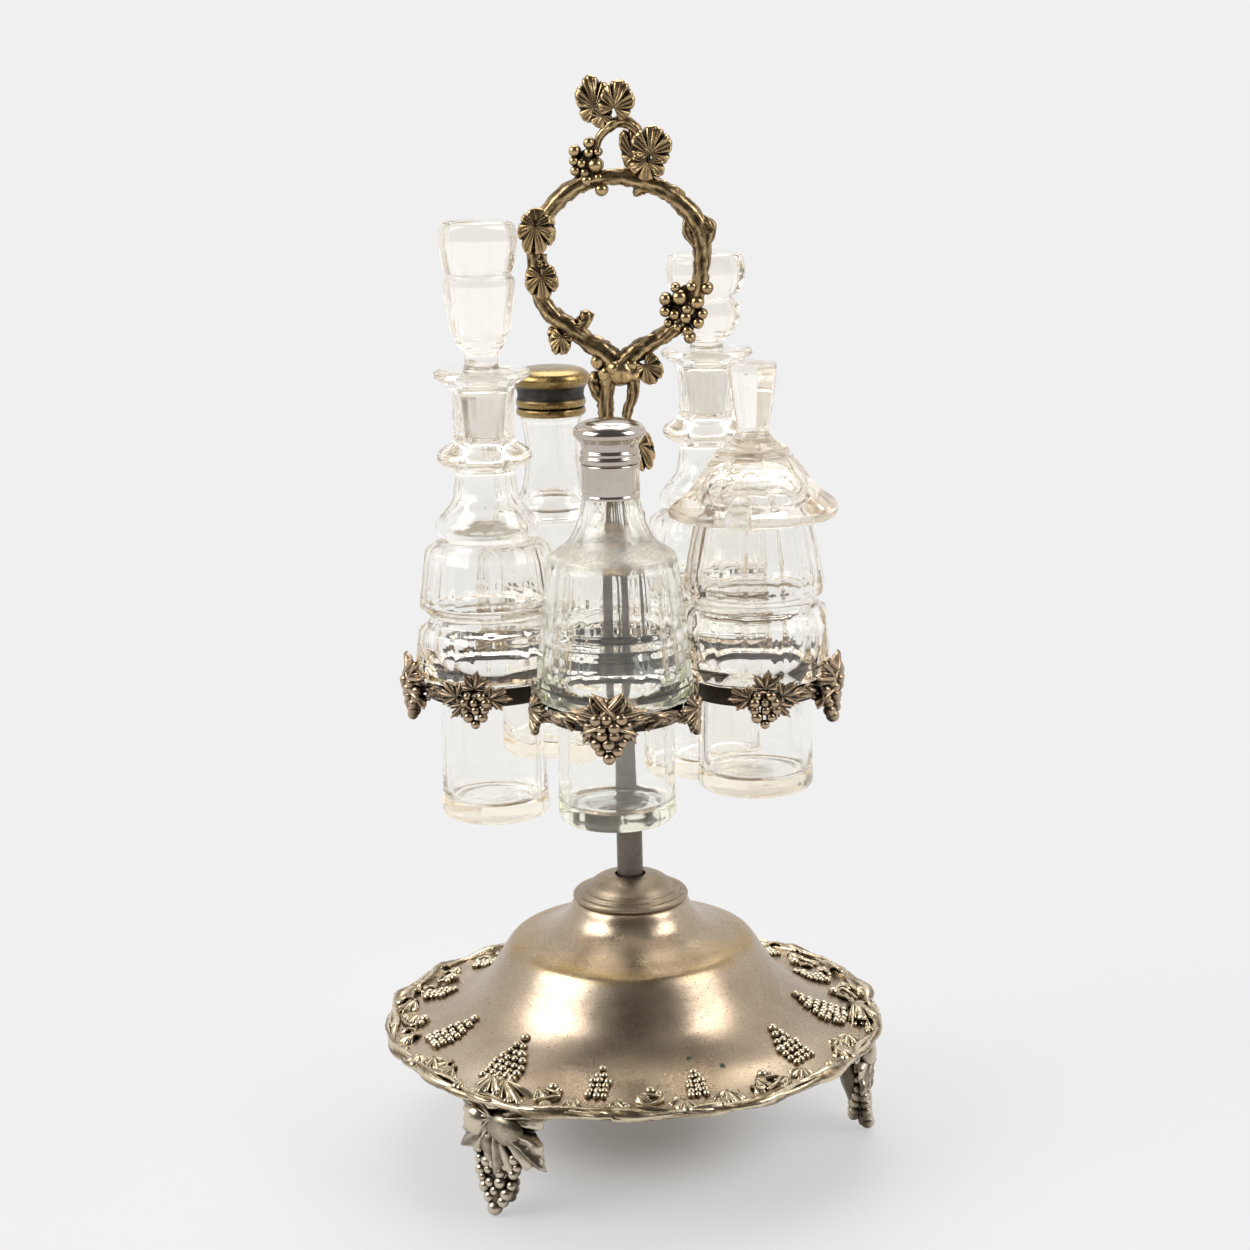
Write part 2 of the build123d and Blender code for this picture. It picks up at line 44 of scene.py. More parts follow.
MM = 0.001
TAU = 2.0 * math.pi
RING_PITCH = 52.0
BAND_OUT = 24.5
SEAT_Z = 190.1
RING_ANGLES = {"front": 0.0, "right": 72.0, "back_right": 144.0, "back_left": 216.0, "left": 288.0}
FOOT_ANGLES = {"front_left": -30.0, "right": 90.0, "back_left": 210.0}


# ---------------------------------------------------------------- shape tools
def spot(angle, radius):
    """Place on the floor plan, with 0 degrees at the front and 90 to the right."""
    turn = math.radians(angle)
    return radius * math.sin(turn), -radius * math.cos(turn)


def share_of_one(value, low=0.0):
    """Value held between low and 1."""
    return min(1.0, max(low, value))


def wobble(x, y, z, scale, seed=0.0):
    return noise.noise(Vector((x * scale + seed, y * scale - seed, z * scale + 2.0 * seed)))


class Shape:
    """Points, faces and one wear value per point: 0 in a recess, 1 on a rubbed high spot."""

    def __init__(self):
        self.points = []
        self.faces = []
        self.wear = []

    def add(self, points, faces, wear=0.5):
        start = len(self.points)
        self.points.extend(tuple(p) for p in points)
        self.faces.extend(tuple(start + i for i in face) for face in faces)
        values = [wear] * len(points) if isinstance(wear, (int, float)) else list(wear)
        self.wear.extend(values)
        return self

    def merge(self, other, place=None):
        points = [place(p) for p in other.points] if place else other.points
        return self.add(points, other.faces, other.wear)


def smooth(points, steps=6):
    """Curve through the points. A point given twice is a corner."""
    runs = [[points[0]]]
    for before, point in zip(points, points[1:]):
        if before == point:
            runs.append([point])
        else:
            runs[-1].append(point)
    out = []
    for run in runs:
        if len(run) < 2:
            continue
        p = [np.array(q, float) for q in run]
        chords = [max(np.linalg.norm(b - a), 1e-6) for a, b in zip(p, p[1:])]
        slopes = []
        for i in range(len(p)):
            if i == 0:
                slopes.append((p[1] - p[0]) / chords[0])
            elif i == len(p) - 1:
                slopes.append((p[-1] - p[-2]) / chords[-1])
            else:
                slopes.append((p[i + 1] - p[i - 1]) / (chords[i - 1] + chords[i]))
        for i, chord in enumerate(chords):
            for k in range(steps):
                t = k / steps
                a = 2 * t**3 - 3 * t**2 + 1
                b = t**3 - 2 * t**2 + t
                c = -2 * t**3 + 3 * t**2
                d = t**3 - t**2
                out.append(a * p[i] + b * chord * slopes[i] + c * p[i + 1] + d * chord * slopes[i + 1])
        out.append(p[-1])
    return out


def facet_angles(sides, phase):
    """Angles that put close points at each panel's edge, and how far each panel falls inside the circle."""
    angles, falls = [], []
    for side in range(sides):
        for share in (0.0, 0.035, 0.1, 0.3, 0.5, 0.7, 0.9, 0.965):
            offset = (share - 0.5) * TAU / sides
            fall = math.cos(math.pi / sides) / math.cos(offset)
            if share == 0.0:
                fall -= 0.0022
            angles.append(math.radians(phase) + (side + share) * TAU / sides)
            falls.append(1.0 - fall)
    return angles, falls


def even_angles(count):
    return [TAU * i / count for i in range(count)], [0.0] * count


def profile_rows(points, steps):
    """Smoothed (radius, height, facet strength) rows. A point without a strength is plain."""
    full = [tuple(p) if len(p) == 3 else (p[0], p[1], 0.0) for p in points]
    return [(max(r, 0.0), z, share_of_one(k)) for r, z, k in smooth(full, steps)]


def lathe(rows, angles, falls, centre=(0.0, 0.0), wear=0.5, change=None):
    """Turned shape from (radius, height, facet strength) rows. wear may be a function of both lengths."""
    shape = Shape()
    points, values, starts = [], [], []
    n = len(angles)
    for r, z, strength in rows:
        value = wear(r, z) if callable(wear) else wear
        if r < 1e-4:
            starts.append((len(points), True))
            points.append((centre[0], centre[1], z))
            values.append(value)
            continue
        starts.append((len(points), False))
        for angle, fall in zip(angles, falls):
            radius = r * (1.0 - fall * strength)
            x, y, height = radius * math.cos(angle), radius * math.sin(angle), z
            if change:
                x, y, height = change(x, y, height)
            points.append((centre[0] + x, centre[1] + y, height))
            values.append(value)
    faces = []
    for (a, a_pole), (b, b_pole) in zip(starts, starts[1:]):
        for i in range(n):
            j = (i + 1) % n
            if a_pole and not b_pole:
                faces.append((a, b + j, b + i))
            elif b_pole and not a_pole:
                faces.append((a + i, a + j, b))
            elif not a_pole and not b_pole:
                faces.append((a + i, a + j, b + j, b + i))
    return shape.add(points, faces, values)


def tube(path, radii, sides=14, lobes=0, depth=0.12, twist=0.0, grain=0.0, seed=0.0, closed=False,
         normal=(0.0, 1.0, 0.0)):
    """Round or ribbed stem along a path of points."""
    path = [np.array(p, float) for p in path]
    count = len(path)
    points, values, faces = [], [], []
    length = 0.0
    side = np.array(normal, float)
    for i, p in enumerate(path):
        before = path[i - 1] if (i > 0 or closed) else p
        after = path[(i + 1) % count] if (i < count - 1 or closed) else p
        along = after - before
        along /= max(np.linalg.norm(along), 1e-9)
        side = side - along * np.dot(side, along)
        side /= max(np.linalg.norm(side), 1e-9)
        other = np.cross(along, side)
        if i:
            length += np.linalg.norm(p - path[i - 1])
        radius = radii[i] if hasattr(radii, "__len__") else radii
        for k in range(sides):
            a = TAU * k / sides
            ridge = math.cos(lobes * (a + twist * length)) if lobes else 0.0
            rough = wobble(p[0] + 3 * math.cos(a), p[1] + 3 * math.sin(a), p[2], 0.55, seed)
            r = radius * (1.0 + depth * ridge + grain * rough)
            points.append(p + (side * math.cos(a) + other * math.sin(a)) * r)
            values.append(share_of_one(0.5 + 0.38 * ridge + 0.35 * rough))
    rows = count if closed else count - 1
    for i in range(rows):
        a, b = i * sides, ((i + 1) % count) * sides
        for k in range(sides):
            m = (k + 1) % sides
            faces.append((a + k, a + m, b + m, b + k))
    if not closed:
        for row, outward in ((0, -1.0), (count - 1, 1.0)):
            tangent = path[min(row + 1, count - 1)] - path[max(row - 1, 0)]
            tangent /= max(np.linalg.norm(tangent), 1e-9)
            radius = radii[row] if hasattr(radii, "__len__") else radii
            points.append(path[row] + tangent * outward * radius * 0.5)
            values.append(0.6)
            tip = len(points) - 1
            a = row * sides
            for k in range(sides):
                m = (k + 1) % sides
                faces.append((a + m, a + k, tip) if outward < 0 else (a + k, a + m, tip))
    return Shape().add(points, faces, values)


BALL = None


def ball_mesh():
    """Unit ball, made once."""
    global BALL
    if BALL is None:
        bm = bmesh.new()
        bmesh.ops.create_icosphere(bm, subdivisions=3, radius=1.0)
        bm.verts.index_update()
        BALL = ([tuple(v.co) for v in bm.verts], [tuple(v.index for v in f.verts) for f in bm.faces])
        bm.free()
    return BALL


def grapes(balls, outward=(0.0, 0.0, 1.0)):
    """Bunch of grapes from (x, y, z, radius)."""
    shape = Shape()
    verts, faces = ball_mesh()
    out = np.array(outward, float)
    out /= np.linalg.norm(out)
    for x, y, z, radius in balls:
        lift = wobble(x, y, z, 0.9, 3.0) * 0.12
        points, values = [], []
        for v in verts:
            height = v[0] * out[0] + v[1] * out[1] + v[2] * out[2]
            points.append((x + v[0] * radius, y + v[1] * radius, z + v[2] * radius))
            values.append(share_of_one(0.30 + 0.62 * max(height, -0.3) + lift))
        shape.add(points, faces, values)
    return shape


def leaf(width, length, lobes=5, spread=118.0, notch=0.30, teeth=0.05, dome=0.18, fold=0.05, ribs=3,
         rib_depth=0.03, thick=1.2, seed=0.0, rows=13, cols=97, droop=0.0, pointed=0.0):
    """Vine leaf with both sides, in local u (across), v (stalk to tip) and w (out of the face)."""
    shape = Shape()
    half = math.radians(spread)
    step = 2 * half / lobes
    reaches = []
    for c in range(cols):
        t = -half + 2 * half * c / (cols - 1)
        phase = ((t + half) / step) % 1.0
        rounded = abs(math.sin(math.pi * phase)) ** 0.6
        peaked = 1.0 - abs(2.0 * phase - 1.0) ** 1.15
        bump = rounded * (1.0 - pointed) + peaked * pointed
        longer = 0.66 + 0.34 * math.cos(t * 0.75)
        saw = abs(((t + half) / step * 3.0 + 0.5) % 1.0 - 0.5) * 2.0
        rim = longer * (1.0 - notch * (1.0 - bump)) * (1.0 + teeth * (saw - 0.5))
        rim *= 1.0 + 0.07 * noise.noise(Vector((t * 1.7, seed, 0.3)))
        reaches.append((t, rim, phase))
    widest = max(abs(math.sin(t)) * rim for t, rim, _ in reaches)
    tallest = max(math.cos(t) * rim for t, rim, _ in reaches)
    lowest = min(math.cos(t) * rim for t, rim, _ in reaches)
    scale_u = width / 2 / widest
    scale_v = length / (tallest - lowest)
    size = min(width, length)
    points, values = [], []
    for side in (1.0, -1.0):
        for r in range(rows):
            rho = (r / (rows - 1)) ** 0.85
            for t, rim, phase in reaches:
                u = math.sin(t) * rim * rho * scale_u
                v = (math.cos(t) * rim * rho - lowest) * scale_v
                from_gap = min(phase, 1.0 - phase)
                gap = math.exp(-(from_gap / 0.11) ** 2) * min(1.0, rho * 1.6)
                vein = math.exp(-((phase - 0.5) / 0.08) ** 2) * (1.0 - 0.6 * rho)
                rib = math.cos(TAU * phase * ribs + 3.0 * rho * (1.0 if phase > 0.5 else -1.0)) * min(1.0,
                    rho * 2.0)
                w = dome * size * (1.0 - rho**2) - droop * size * rho**2.4
                w += size * (-fold * gap + 0.05 * vein * rho + rib_depth * 0.5 * rib)
                w += 0.03 * size * wobble(u, v, 0.0, 0.30, seed)
                edge = 1.0 if r < rows - 1 else 0.25
                points.append((u, v, w + side * thick * 0.5 * edge))
                high = 0.56 - 0.55 * gap + 0.25 * vein + 0.26 * rib + (0.22 if r >= rows - 2 else 0.0)
                high -= 0.30 * max(0.0, 1.0 - rho * 5.0)
                values.append(share_of_one(high if side > 0 else high - 0.15))
    faces = []
    block = rows * cols
    for r in range(rows - 1):
        for c in range(cols - 1):
            a = r * cols + c
            faces.append((a, a + cols, a + cols + 1, a + 1))
            faces.append((block + a, block + a + 1, block + a + cols + 1, block + a + cols))
    last = (rows - 1) * cols
    for c in range(cols - 1):
        faces.append((last + c, block + last + c, block + last + c + 1, last + c + 1))
    for r in range(rows - 1):
        for c in (0, cols - 1):
            a, b = r * cols + c, (r + 1) * cols + c
            faces.append((a, block + a, block + b, b) if c == 0 else (a, b, block + b, block + a))
    return shape.add(points, faces, values)


def boss(x, y, z, radii, wear=0.75):
    """Smooth rounded lump."""
    verts, faces = ball_mesh()
    points = []
    for v in verts:
        rough = 1.0 + 0.05 * wobble(x + v[0] * 4, y + v[1] * 4, z + v[2] * 4, 0.5)
        points.append((x + v[0] * radii[0] * rough, y + v[1] * radii[1] * rough, z + v[2] * radii[2] * rough))
    values = [share_of_one(wear - 0.35 * abs(v[0]) - 0.2 * max(0.0, v[2]), 0.05) for v in verts]
    return Shape().add(points, faces, values)


def placed(origin, u_axis, v_axis, w_axis):
    """Maps local (u, v, w) to space."""
    origin, u_axis = np.array(origin, float), np.array(u_axis, float)
    v_axis, w_axis = np.array(v_axis, float), np.array(w_axis, float)

    def place(p):
        return tuple(origin + u_axis * p[0] + v_axis * p[1] + w_axis * p[2])

    return place


def turned_about_z(degrees, shift=(0.0, 0.0, 0.0)):
    c, s = math.cos(math.radians(degrees)), math.sin(math.radians(degrees))

    def place(p):
        return (p[0] * c - p[1] * s + shift[0], p[0] * s + p[1] * c + shift[1], p[2] + shift[2])

    return place


def make_piece(name, shape, material, body, hides=(), crease=None):
    """Mesh object in the row frame, riding on a CAD body."""
    mesh = bpy.data.meshes.new(name)
    mesh.from_pydata([(x * MM, y * MM, z * MM) for x, y, z in shape.points], [], shape.faces)
    wear = mesh.attributes.new("wear", "FLOAT", "POINT")
    wear.data.foreach_set("value", shape.wear)
    bm = bmesh.new()
    bm.from_mesh(mesh)
    bmesh.ops.remove_doubles(bm, verts=bm.verts, dist=2e-6)
    bmesh.ops.recalc_face_normals(bm, faces=bm.faces)
    bm.to_mesh(mesh)
    bm.free()
    mesh.polygons.foreach_set("use_smooth", [True] * len(mesh.polygons))
    if crease:
        mesh.set_sharp_from_angle(angle=math.radians(crease))
    mesh.materials.append(material)
    piece = bpy.data.objects.new(name, mesh)
    bpy.context.scene.collection.objects.link(piece)
    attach(piece, body)
    if hides:
        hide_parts(*hides)
    return piece


# ---------------------------------------------------------------- materials
class Nodes:
    """Short ways to build a material's nodes."""

    def __init__(self, name):
        self.material = bpy.data.materials.new(name)
        self.material.use_nodes = True
        self.tree = self.material.node_tree
        self.tree.nodes.clear()
        self.out = self.new("ShaderNodeOutputMaterial")

    def new(self, kind, **settings):
        node = self.tree.nodes.new(kind)
        for key, value in settings.items():
            setattr(node, key, value)
        return node

    def link(self, a, b):
        self.tree.links.new(a, b)

    def coords(self):
        return self.new("ShaderNodeTexCoord").outputs["Object"]

    def noise(self, scale, detail=4.0, roughness=0.6, distortion=0.0, vector=None):
        node = self.new("ShaderNodeTexNoise")
        node.inputs["Scale"].default_value = scale
        node.inputs["Detail"].default_value = detail
        node.inputs["Roughness"].default_value = roughness
        node.inputs["Distortion"].default_value = distortion
        self.link(vector or self.coords(), node.inputs["Vector"])
        return node.outputs["Fac"]

    def ramp(self, value, stops, interpolation="LINEAR"):
        node = self.new("ShaderNodeValToRGB")
        node.color_ramp.interpolation = interpolation
        while len(node.color_ramp.elements) < len(stops):
            node.color_ramp.elements.new(0.5)
        for element, (place, colour) in zip(node.color_ramp.elements, stops):
            element.position = place
            if isinstance(colour, (int, float)):
                colour = (colour, colour, colour)
            element.color = (*colour, 1.0)
        self.link(value, node.inputs["Fac"])
        return node.outputs["Color"]

    def math(self, operation, a, b=0.0, clamp=False):
        node = self.new("ShaderNodeMath", operation=operation, use_clamp=clamp)
        for socket, value in zip(node.inputs, (a, b)):
            if isinstance(value, (int, float)):
                socket.default_value = value
            else:
                self.link(value, socket)
        return node.outputs[0]

    def times(self, a, b, clamp=False):
        return self.math("MULTIPLY", a, b, clamp)

    def plus(self, a, b, clamp=False):
        return self.math("ADD", a, b, clamp)

    def minus(self, a, b, clamp=False):
        return self.math("SUBTRACT", a, b, clamp)

    def mix(self, factor, a, b):
        node = self.new("ShaderNodeMix", data_type="RGBA")
        for index, value in ((0, factor), (6, a), (7, b)):
            socket = node.inputs[index]
            if isinstance(value, (int, float)):
                socket.default_value = value
            elif isinstance(value, tuple):
                socket.default_value = (*value, 1.0)
            else:
                self.link(value, socket)
        return node.outputs[2]

    def bump(self, height, strength, distance, normal=None):
        node = self.new("ShaderNodeBump")
        node.inputs["Strength"].default_value = strength
        node.inputs["Distance"].default_value = distance
        self.link(height, node.inputs["Height"])
        if normal:
            self.link(normal, node.inputs["Normal"])
        return node.outputs["Normal"]

    def attribute(self, name):
        return self.new("ShaderNodeAttribute", attribute_name=name).outputs["Fac"]

    def shader(self, colour, roughness, metallic=1.0, normal=None, **others):
        node = self.new("ShaderNodeBsdfPrincipled")
        for key, value in (("Base Color", colour), ("Roughness", roughness), ("Metallic", metallic)):
            socket = node.inputs[key]
            if isinstance(value, (int, float)):
                socket.default_value = value
            elif isinstance(value, tuple):
                socket.default_value = (*value, 1.0)
            else:
                self.link(value, socket)
        for key, value in others.items():
            node.inputs[key.replace("_", " ")].default_value = value
        if normal:
            self.link(normal, node.inputs["Normal"])
        return node

    def finish(self, node):
        self.link(node.outputs[0], self.out.inputs["Surface"])
        return self.material


def cast_metal(name, dark, middle, bright, rough_low=0.24, rough_high=0.52, residue=0.5):
    """Antique cast metal: recesses darkened partly by patina and partly by painted shade, rubbed high spots,
    a chalky residue in the deepest places.
    """
    m = Nodes(name)
    fine = m.noise(900.0, 6.0, 0.65)
    broad = m.noise(120.0, 4.0, 0.6)
    wear = m.attribute("wear")
    hollow = m.new("ShaderNodeAmbientOcclusion", samples=6, only_local=True)
    hollow.inputs["Distance"].default_value = 0.0032
    # Colour darkens where the ambient occlusion is low: partly patina held in the hollows, partly painted
    # shade where less light reaches.
    clear_of_shade_and_patina = m.ramp(hollow.outputs["AO"], [(0.25, 0.0), (0.85, 1.0)])
    high = m.times(m.plus(m.times(wear, 0.62), m.times(broad, 0.42)), clear_of_shade_and_patina)
    high = m.plus(high, m.times(m.minus(fine, 0.5), 0.30), clamp=True)
    colour = m.ramp(high, [(0.10, dark), (0.36, middle), (0.70, bright)])
    chalk_place = m.ramp(m.noise(260.0, 5.0, 0.7), [(0.52, 0.0), (0.66, 1.0)])
    deep = m.ramp(hollow.outputs["AO"], [(0.30, 1.0), (0.72, 0.0)])
    chalk = m.times(m.times(chalk_place, deep), residue)
    colour = m.mix(chalk, colour, (0.42, 0.45, 0.46))
    metallic = m.minus(1.0, chalk, clamp=True)
    roughness = m.ramp(high, [(0.15, rough_high), (0.70, rough_low)])
    normal = m.bump(fine, 0.35, 0.00025)
    return m.finish(m.shader(colour, roughness, metallic, normal))


def plate_metal(name):
    """Worn satin silver plate with a warm base, an ochre line at the crest and a few green spots."""
    m = Nodes(name)
    place = m.coords()
    split = m.new("ShaderNodeSeparateXYZ")
    m.link(place, split.inputs[0])
    height = split.outputs["Z"]
    broad = m.noise(26.0, 5.0, 0.62, 0.4)
    cloud = m.noise(9.0, 3.0, 0.5)
    fine = m.noise(1500.0, 3.0, 0.7)
    colour = m.ramp(broad, [(0.30, (0.40, 0.31, 0.22)), (0.52, (0.50, 0.395, 0.29)),
        (0.72, (0.58, 0.475, 0.36))])
    colour = m.mix(m.ramp(cloud, [(0.45, 0.0), (0.7, 0.35)]), colour, (0.44, 0.33, 0.20))
    from_crest = m.math("ABSOLUTE", m.minus(height, 0.0806))
    crest = m.ramp(from_crest, [(0.0, 1.0), (0.0016, 0.75), (0.0042, 0.0)], "EASE")
    crest = m.times(crest, m.ramp(m.noise(60.0, 4.0), [(0.3, 0.25), (0.6, 0.8)]))
    colour = m.mix(crest, colour, (0.44, 0.29, 0.10))
    pits = m.ramp(m.noise(2600.0, 1.0, 0.5), [(0.55, 0.0), (0.68, 1.0)])
    big_pits = m.ramp(m.noise(1700.0, 0.0, 0.5), [(0.775, 0.0), (0.81, 1.0)])
    specks = m.math("MAXIMUM", m.times(pits, 0.50), big_pits)
    colour = m.mix(specks, colour, (0.10, 0.075, 0.05))
    green = None
    for x, y, z, size in GREEN_SPOTS:
        away = m.new("ShaderNodeVectorMath", operation="DISTANCE")
        m.link(place, away.inputs[0])
        away.inputs[1].default_value = (x * MM, y * MM, z * MM)
        ragged = m.plus(away.outputs["Value"], m.times(m.minus(m.noise(420.0, 6.0, 0.75), 0.5),
            size * 2.6 * MM))
        spot_here = m.ramp(m.math("DIVIDE", ragged, size * MM), [(0.55, 1.0), (0.80, 0.0)])
        green = spot_here if green is None else m.math("MAXIMUM", green, spot_here)
    colour = m.mix(green, colour, (0.045, 0.075, 0.045))
    metallic = m.minus(1.0, m.times(green, 0.9), clamp=True)
    satin = m.ramp(m.noise(55.0, 5.0, 0.6), [(0.3, 0.23), (0.7, 0.34)])
    roughness = m.plus(satin, m.times(m.math("MAXIMUM", green, specks), 0.35), clamp=True)
    orange_peel = m.noise(300.0, 2.0, 0.5)
    normal = m.bump(orange_peel, 0.10, 0.0003)
    normal = m.bump(m.minus(1.0, big_pits), 0.25, 0.0002, normal)
    normal = m.bump(m.noise(40.0, 2.0), 0.10, 0.0012, normal)
    return m.finish(m.shader(colour, roughness, metallic, normal))


def plain_metal(name, colour_a, colour_b, rough_a, rough_b, scale=300.0, bump=0.3, pits=0.5):
    m = Nodes(name)
    grain = m.noise(scale, 6.0, 0.65)
    broad = m.noise(scale * 0.12, 4.0, 0.6)
    colour = m.mix(m.ramp(broad, [(0.35, 0.0), (0.65, 1.0)]), colour_a, colour_b)
    dark = m.ramp(m.noise(scale * 2.2, 3.0, 0.6), [(0.60, 0.0), (0.72, 1.0)])
    dark = m.times(dark, pits)
    colour = m.mix(dark, colour, tuple(0.25 * c for c in colour_a))
    roughness = m.ramp(grain, [(0.3, rough_a), (0.7, rough_b)])
    normal = m.bump(grain, bump, 0.0003)
    return m.finish(m.shader(colour, roughness, 1.0, normal))


def banded_brass(name):
    """Worn brass, dark grey in the hollow under the rim, with dark lines between the beads."""
    m = Nodes(name)
    split = m.new("ShaderNodeSeparateXYZ")
    m.link(m.coords(), split.inputs[0])
    height = split.outputs["Z"]
    grain = m.noise(260.0, 6.0, 0.65)
    colour = m.mix(m.ramp(m.noise(70.0, 4.0), [(0.35, 0.0), (0.65, 1.0)]), (0.24, 0.16, 0.06),
        (0.40, 0.28, 0.12))
    # The hollow under the rim is coloured dark grey and made rougher.
    in_hollow = m.math("ABSOLUTE", m.minus(height, 0.2890))
    under_rim_grey = m.ramp(m.times(in_hollow, 100.0), [(0.20, 1.0), (0.34, 0.0)])
    under_rim_grey = m.times(under_rim_grey, m.ramp(grain, [(0.2, 0.75), (0.6, 1.0)]))
    colour = m.mix(under_rim_grey, colour, (0.055, 0.055, 0.058))
    lines = None
    for z in (0.2831, 0.2866):
        line = m.ramp(m.times(m.math("ABSOLUTE", m.minus(height, z)), 1000.0), [(0.25, 0.9), (0.75, 0.0)])
        lines = line if lines is None else m.math("MAXIMUM", lines, line)
    colour = m.mix(lines, colour, (0.03, 0.025, 0.02))
    specks = m.ramp(m.noise(560.0, 3.0, 0.6), [(0.60, 0.0), (0.70, 0.5)])
    colour = m.mix(specks, colour, (0.07, 0.05, 0.03))
    roughness = m.plus(m.ramp(grain, [(0.3, 0.18), (0.7, 0.34)]), m.times(under_rim_grey, 0.25), clamp=True)
    normal = m.bump(grain, 0.15, 0.0003)
    return m.finish(m.shader(colour, roughness, 1.0, normal))


GLASS_ROUGH = 0.012
CLEAN_DUST = 0.02


def clear_glass(name, tint, absorb, absorb_density, dust_colour=(0.86, 0.76, 0.60), dust_amount=0.6):
    """Pressed glass. The wear value is how much dust or frosting lies on a place."""
    m = Nodes(name)
    dust_place = m.noise(160.0, 6.0, 0.7)
    dust = m.times(m.attribute("wear"), m.ramp(dust_place, [(0.30, 0.35), (0.68, 1.0)]))
    dust = m.times(dust, dust_amount, clamp=True)
    waves = m.noise(38.0, 2.0, 0.5)
    ripples = m.noise(140.0, 3.0, 0.5)
    normal = m.bump(waves, 0.25, 0.0016)
    normal = m.bump(ripples, 0.10, 0.0004, normal)
    roughness = m.plus(m.times(dust, 0.5), GLASS_ROUGH, clamp=True)
    glass = m.shader(m.mix(dust, tint, dust_colour), roughness, 0.0, normal, IOR=1.48)
    m.link(m.minus(1.0, m.times(dust, 0.6)), glass.inputs["Transmission Weight"])
    m.link(glass.outputs[0], m.out.inputs["Surface"])
    volume = m.new("ShaderNodeVolumeAbsorption")
    volume.inputs["Color"].default_value = (*absorb, 1.0)
    volume.inputs["Density"].default_value = absorb_density
    m.link(volume.outputs[0], m.out.inputs["Volume"])
    return m.material


GREEN_SPOTS = ((23.6, -57.5, 57.0, 2.1), (25.4, -62.0, 54.8, 1.6), (24.2, -54.6, 59.0, 1.3),
    (28.4, -68.8, 51.6, 2.2), (37.6, -62.0, 52.4, 1.7), (20.4, -53.4, 60.2, 0.9))

PLATE = plate_metal("satin_plate")
CAP = plain_metal("cap_plate", (0.33, 0.26, 0.18), (0.44, 0.355, 0.26), 0.30, 0.46, 420.0, 0.30, 0.7)
VINE = cast_metal("antique_vine", (0.012, 0.009, 0.006), (0.090, 0.060, 0.031), (0.54, 0.385, 0.20), 0.20,
    0.46, residue=0.8)
GARLAND = cast_metal("antique_garland", (0.010, 0.008, 0.006), (0.070, 0.050, 0.033), (0.50, 0.37, 0.245),
    0.18, 0.42, residue=0.55)
BORDER = cast_metal("worn_border", (0.030, 0.022, 0.013), (0.24, 0.18, 0.105), (0.74, 0.63, 0.46), 0.20,
    0.40, residue=0.1)
FOOT = cast_metal("worn_foot", (0.022, 0.018, 0.013), (0.17, 0.14, 0.10), (0.66, 0.57, 0.45), 0.22, 0.44,
    residue=0.15)
ROD = plain_metal("pitted_bar", (0.13, 0.112, 0.094), (0.21, 0.18, 0.15), 0.32, 0.52, 420.0, 0.5, 0.7)
BAND = plain_metal("dark_band", (0.034, 0.027, 0.020), (0.075, 0.058, 0.042), 0.36, 0.58, 300.0, 0.4, 0.6)
SILVER = plain_metal("bright_silver", (0.50, 0.44, 0.385), (0.62, 0.565, 0.51), 0.09, 0.20, 240.0, 0.06, 0.2)
BRASS = banded_brass("worn_brass")
HIDDEN = plain_metal("turned_fittings", (0.32, 0.29, 0.25), (0.42, 0.38, 0.33), 0.30, 0.45, 300.0, 0.2, 0.3)
GLASS = clear_glass("clear_glass", (1.0, 0.998, 0.99), (1.0, 0.92, 0.78), 20.0)
GREEN_GLASS = clear_glass("greenish_glass", (0.995, 0.995, 0.985), (0.985, 0.985, 0.86), 20.0,
    (0.84, 0.74, 0.58), 0.9)
FROSTED = clear_glass("stopper_glass", (1.0, 0.995, 0.985), (1.0, 0.92, 0.80), 16.0, (0.92, 0.86, 0.76), 0.95)

# ---------------------------------------------------------------- base plate
PLATE_TOP = [(17.0, 97.6), (20.5, 96.6), (22.2, 95.4), (24.4, 91.4), (27.2, 87.9), (31.6, 85.2),
    (38.0, 82.8), (43.6, 81.2), (46.8, 79.8), (48.9, 77.4), (51.2, 73.9), (53.6, 70.0), (56.4, 65.8),
    (60.5, 60.8), (66.5, 55.8), (74.5, 51.2), (84.0, 48.2), (95.4, 46.4)]
PLATE_T = 1.4
plate_rows = smooth(PLATE_TOP, 7)
plate_radii = [p[0] for p in plate_rows]
plate_heights = [p[1] for p in plate_rows]


def plate_height(r):
    return float(np.interp(r, plate_radii, plate_heights))


def plate_slope(r):
    return (plate_height(r + 0.8) - plate_height(r - 0.8)) / 1.6


def thin_wall(rows, thickness):
    """Rows for the top side and then back along the underside."""
    under = []
    for i, (r, z) in enumerate(rows):
        r0, z0 = rows[max(i - 1, 0)]
        r1, z1 = rows[min(i + 1, len(rows) - 1)]
        length = max(math.hypot(r1 - r0, z1 - z0), 1e-6)
        under.append((r + (z1 - z0) / length * thickness, z - (r1 - r0) / length * thickness))
    return [(r, z, 0.0) for r, z in rows] + [(r, z, 0.0) for r, z in reversed(under)]


plate_loop = thin_wall([tuple(p) for p in plate_rows], PLATE_T)
plate_loop.append(plate_loop[0])
ANGLES_192, NO_FALL_192 = even_angles(192)
ANGLES_96, NO_FALL_96 = even_angles(96)


def beaten(x, y, z):
    """Slight unevenness of hand-worked sheet."""
    return x, y, z + 0.28 * wobble(x, y, z, 0.035, 5.0)


make_piece("domed_plate", lathe(plate_loop, ANGLES_192, NO_FALL_192, change=beaten), PLATE, "base",
           ["base_shell"])

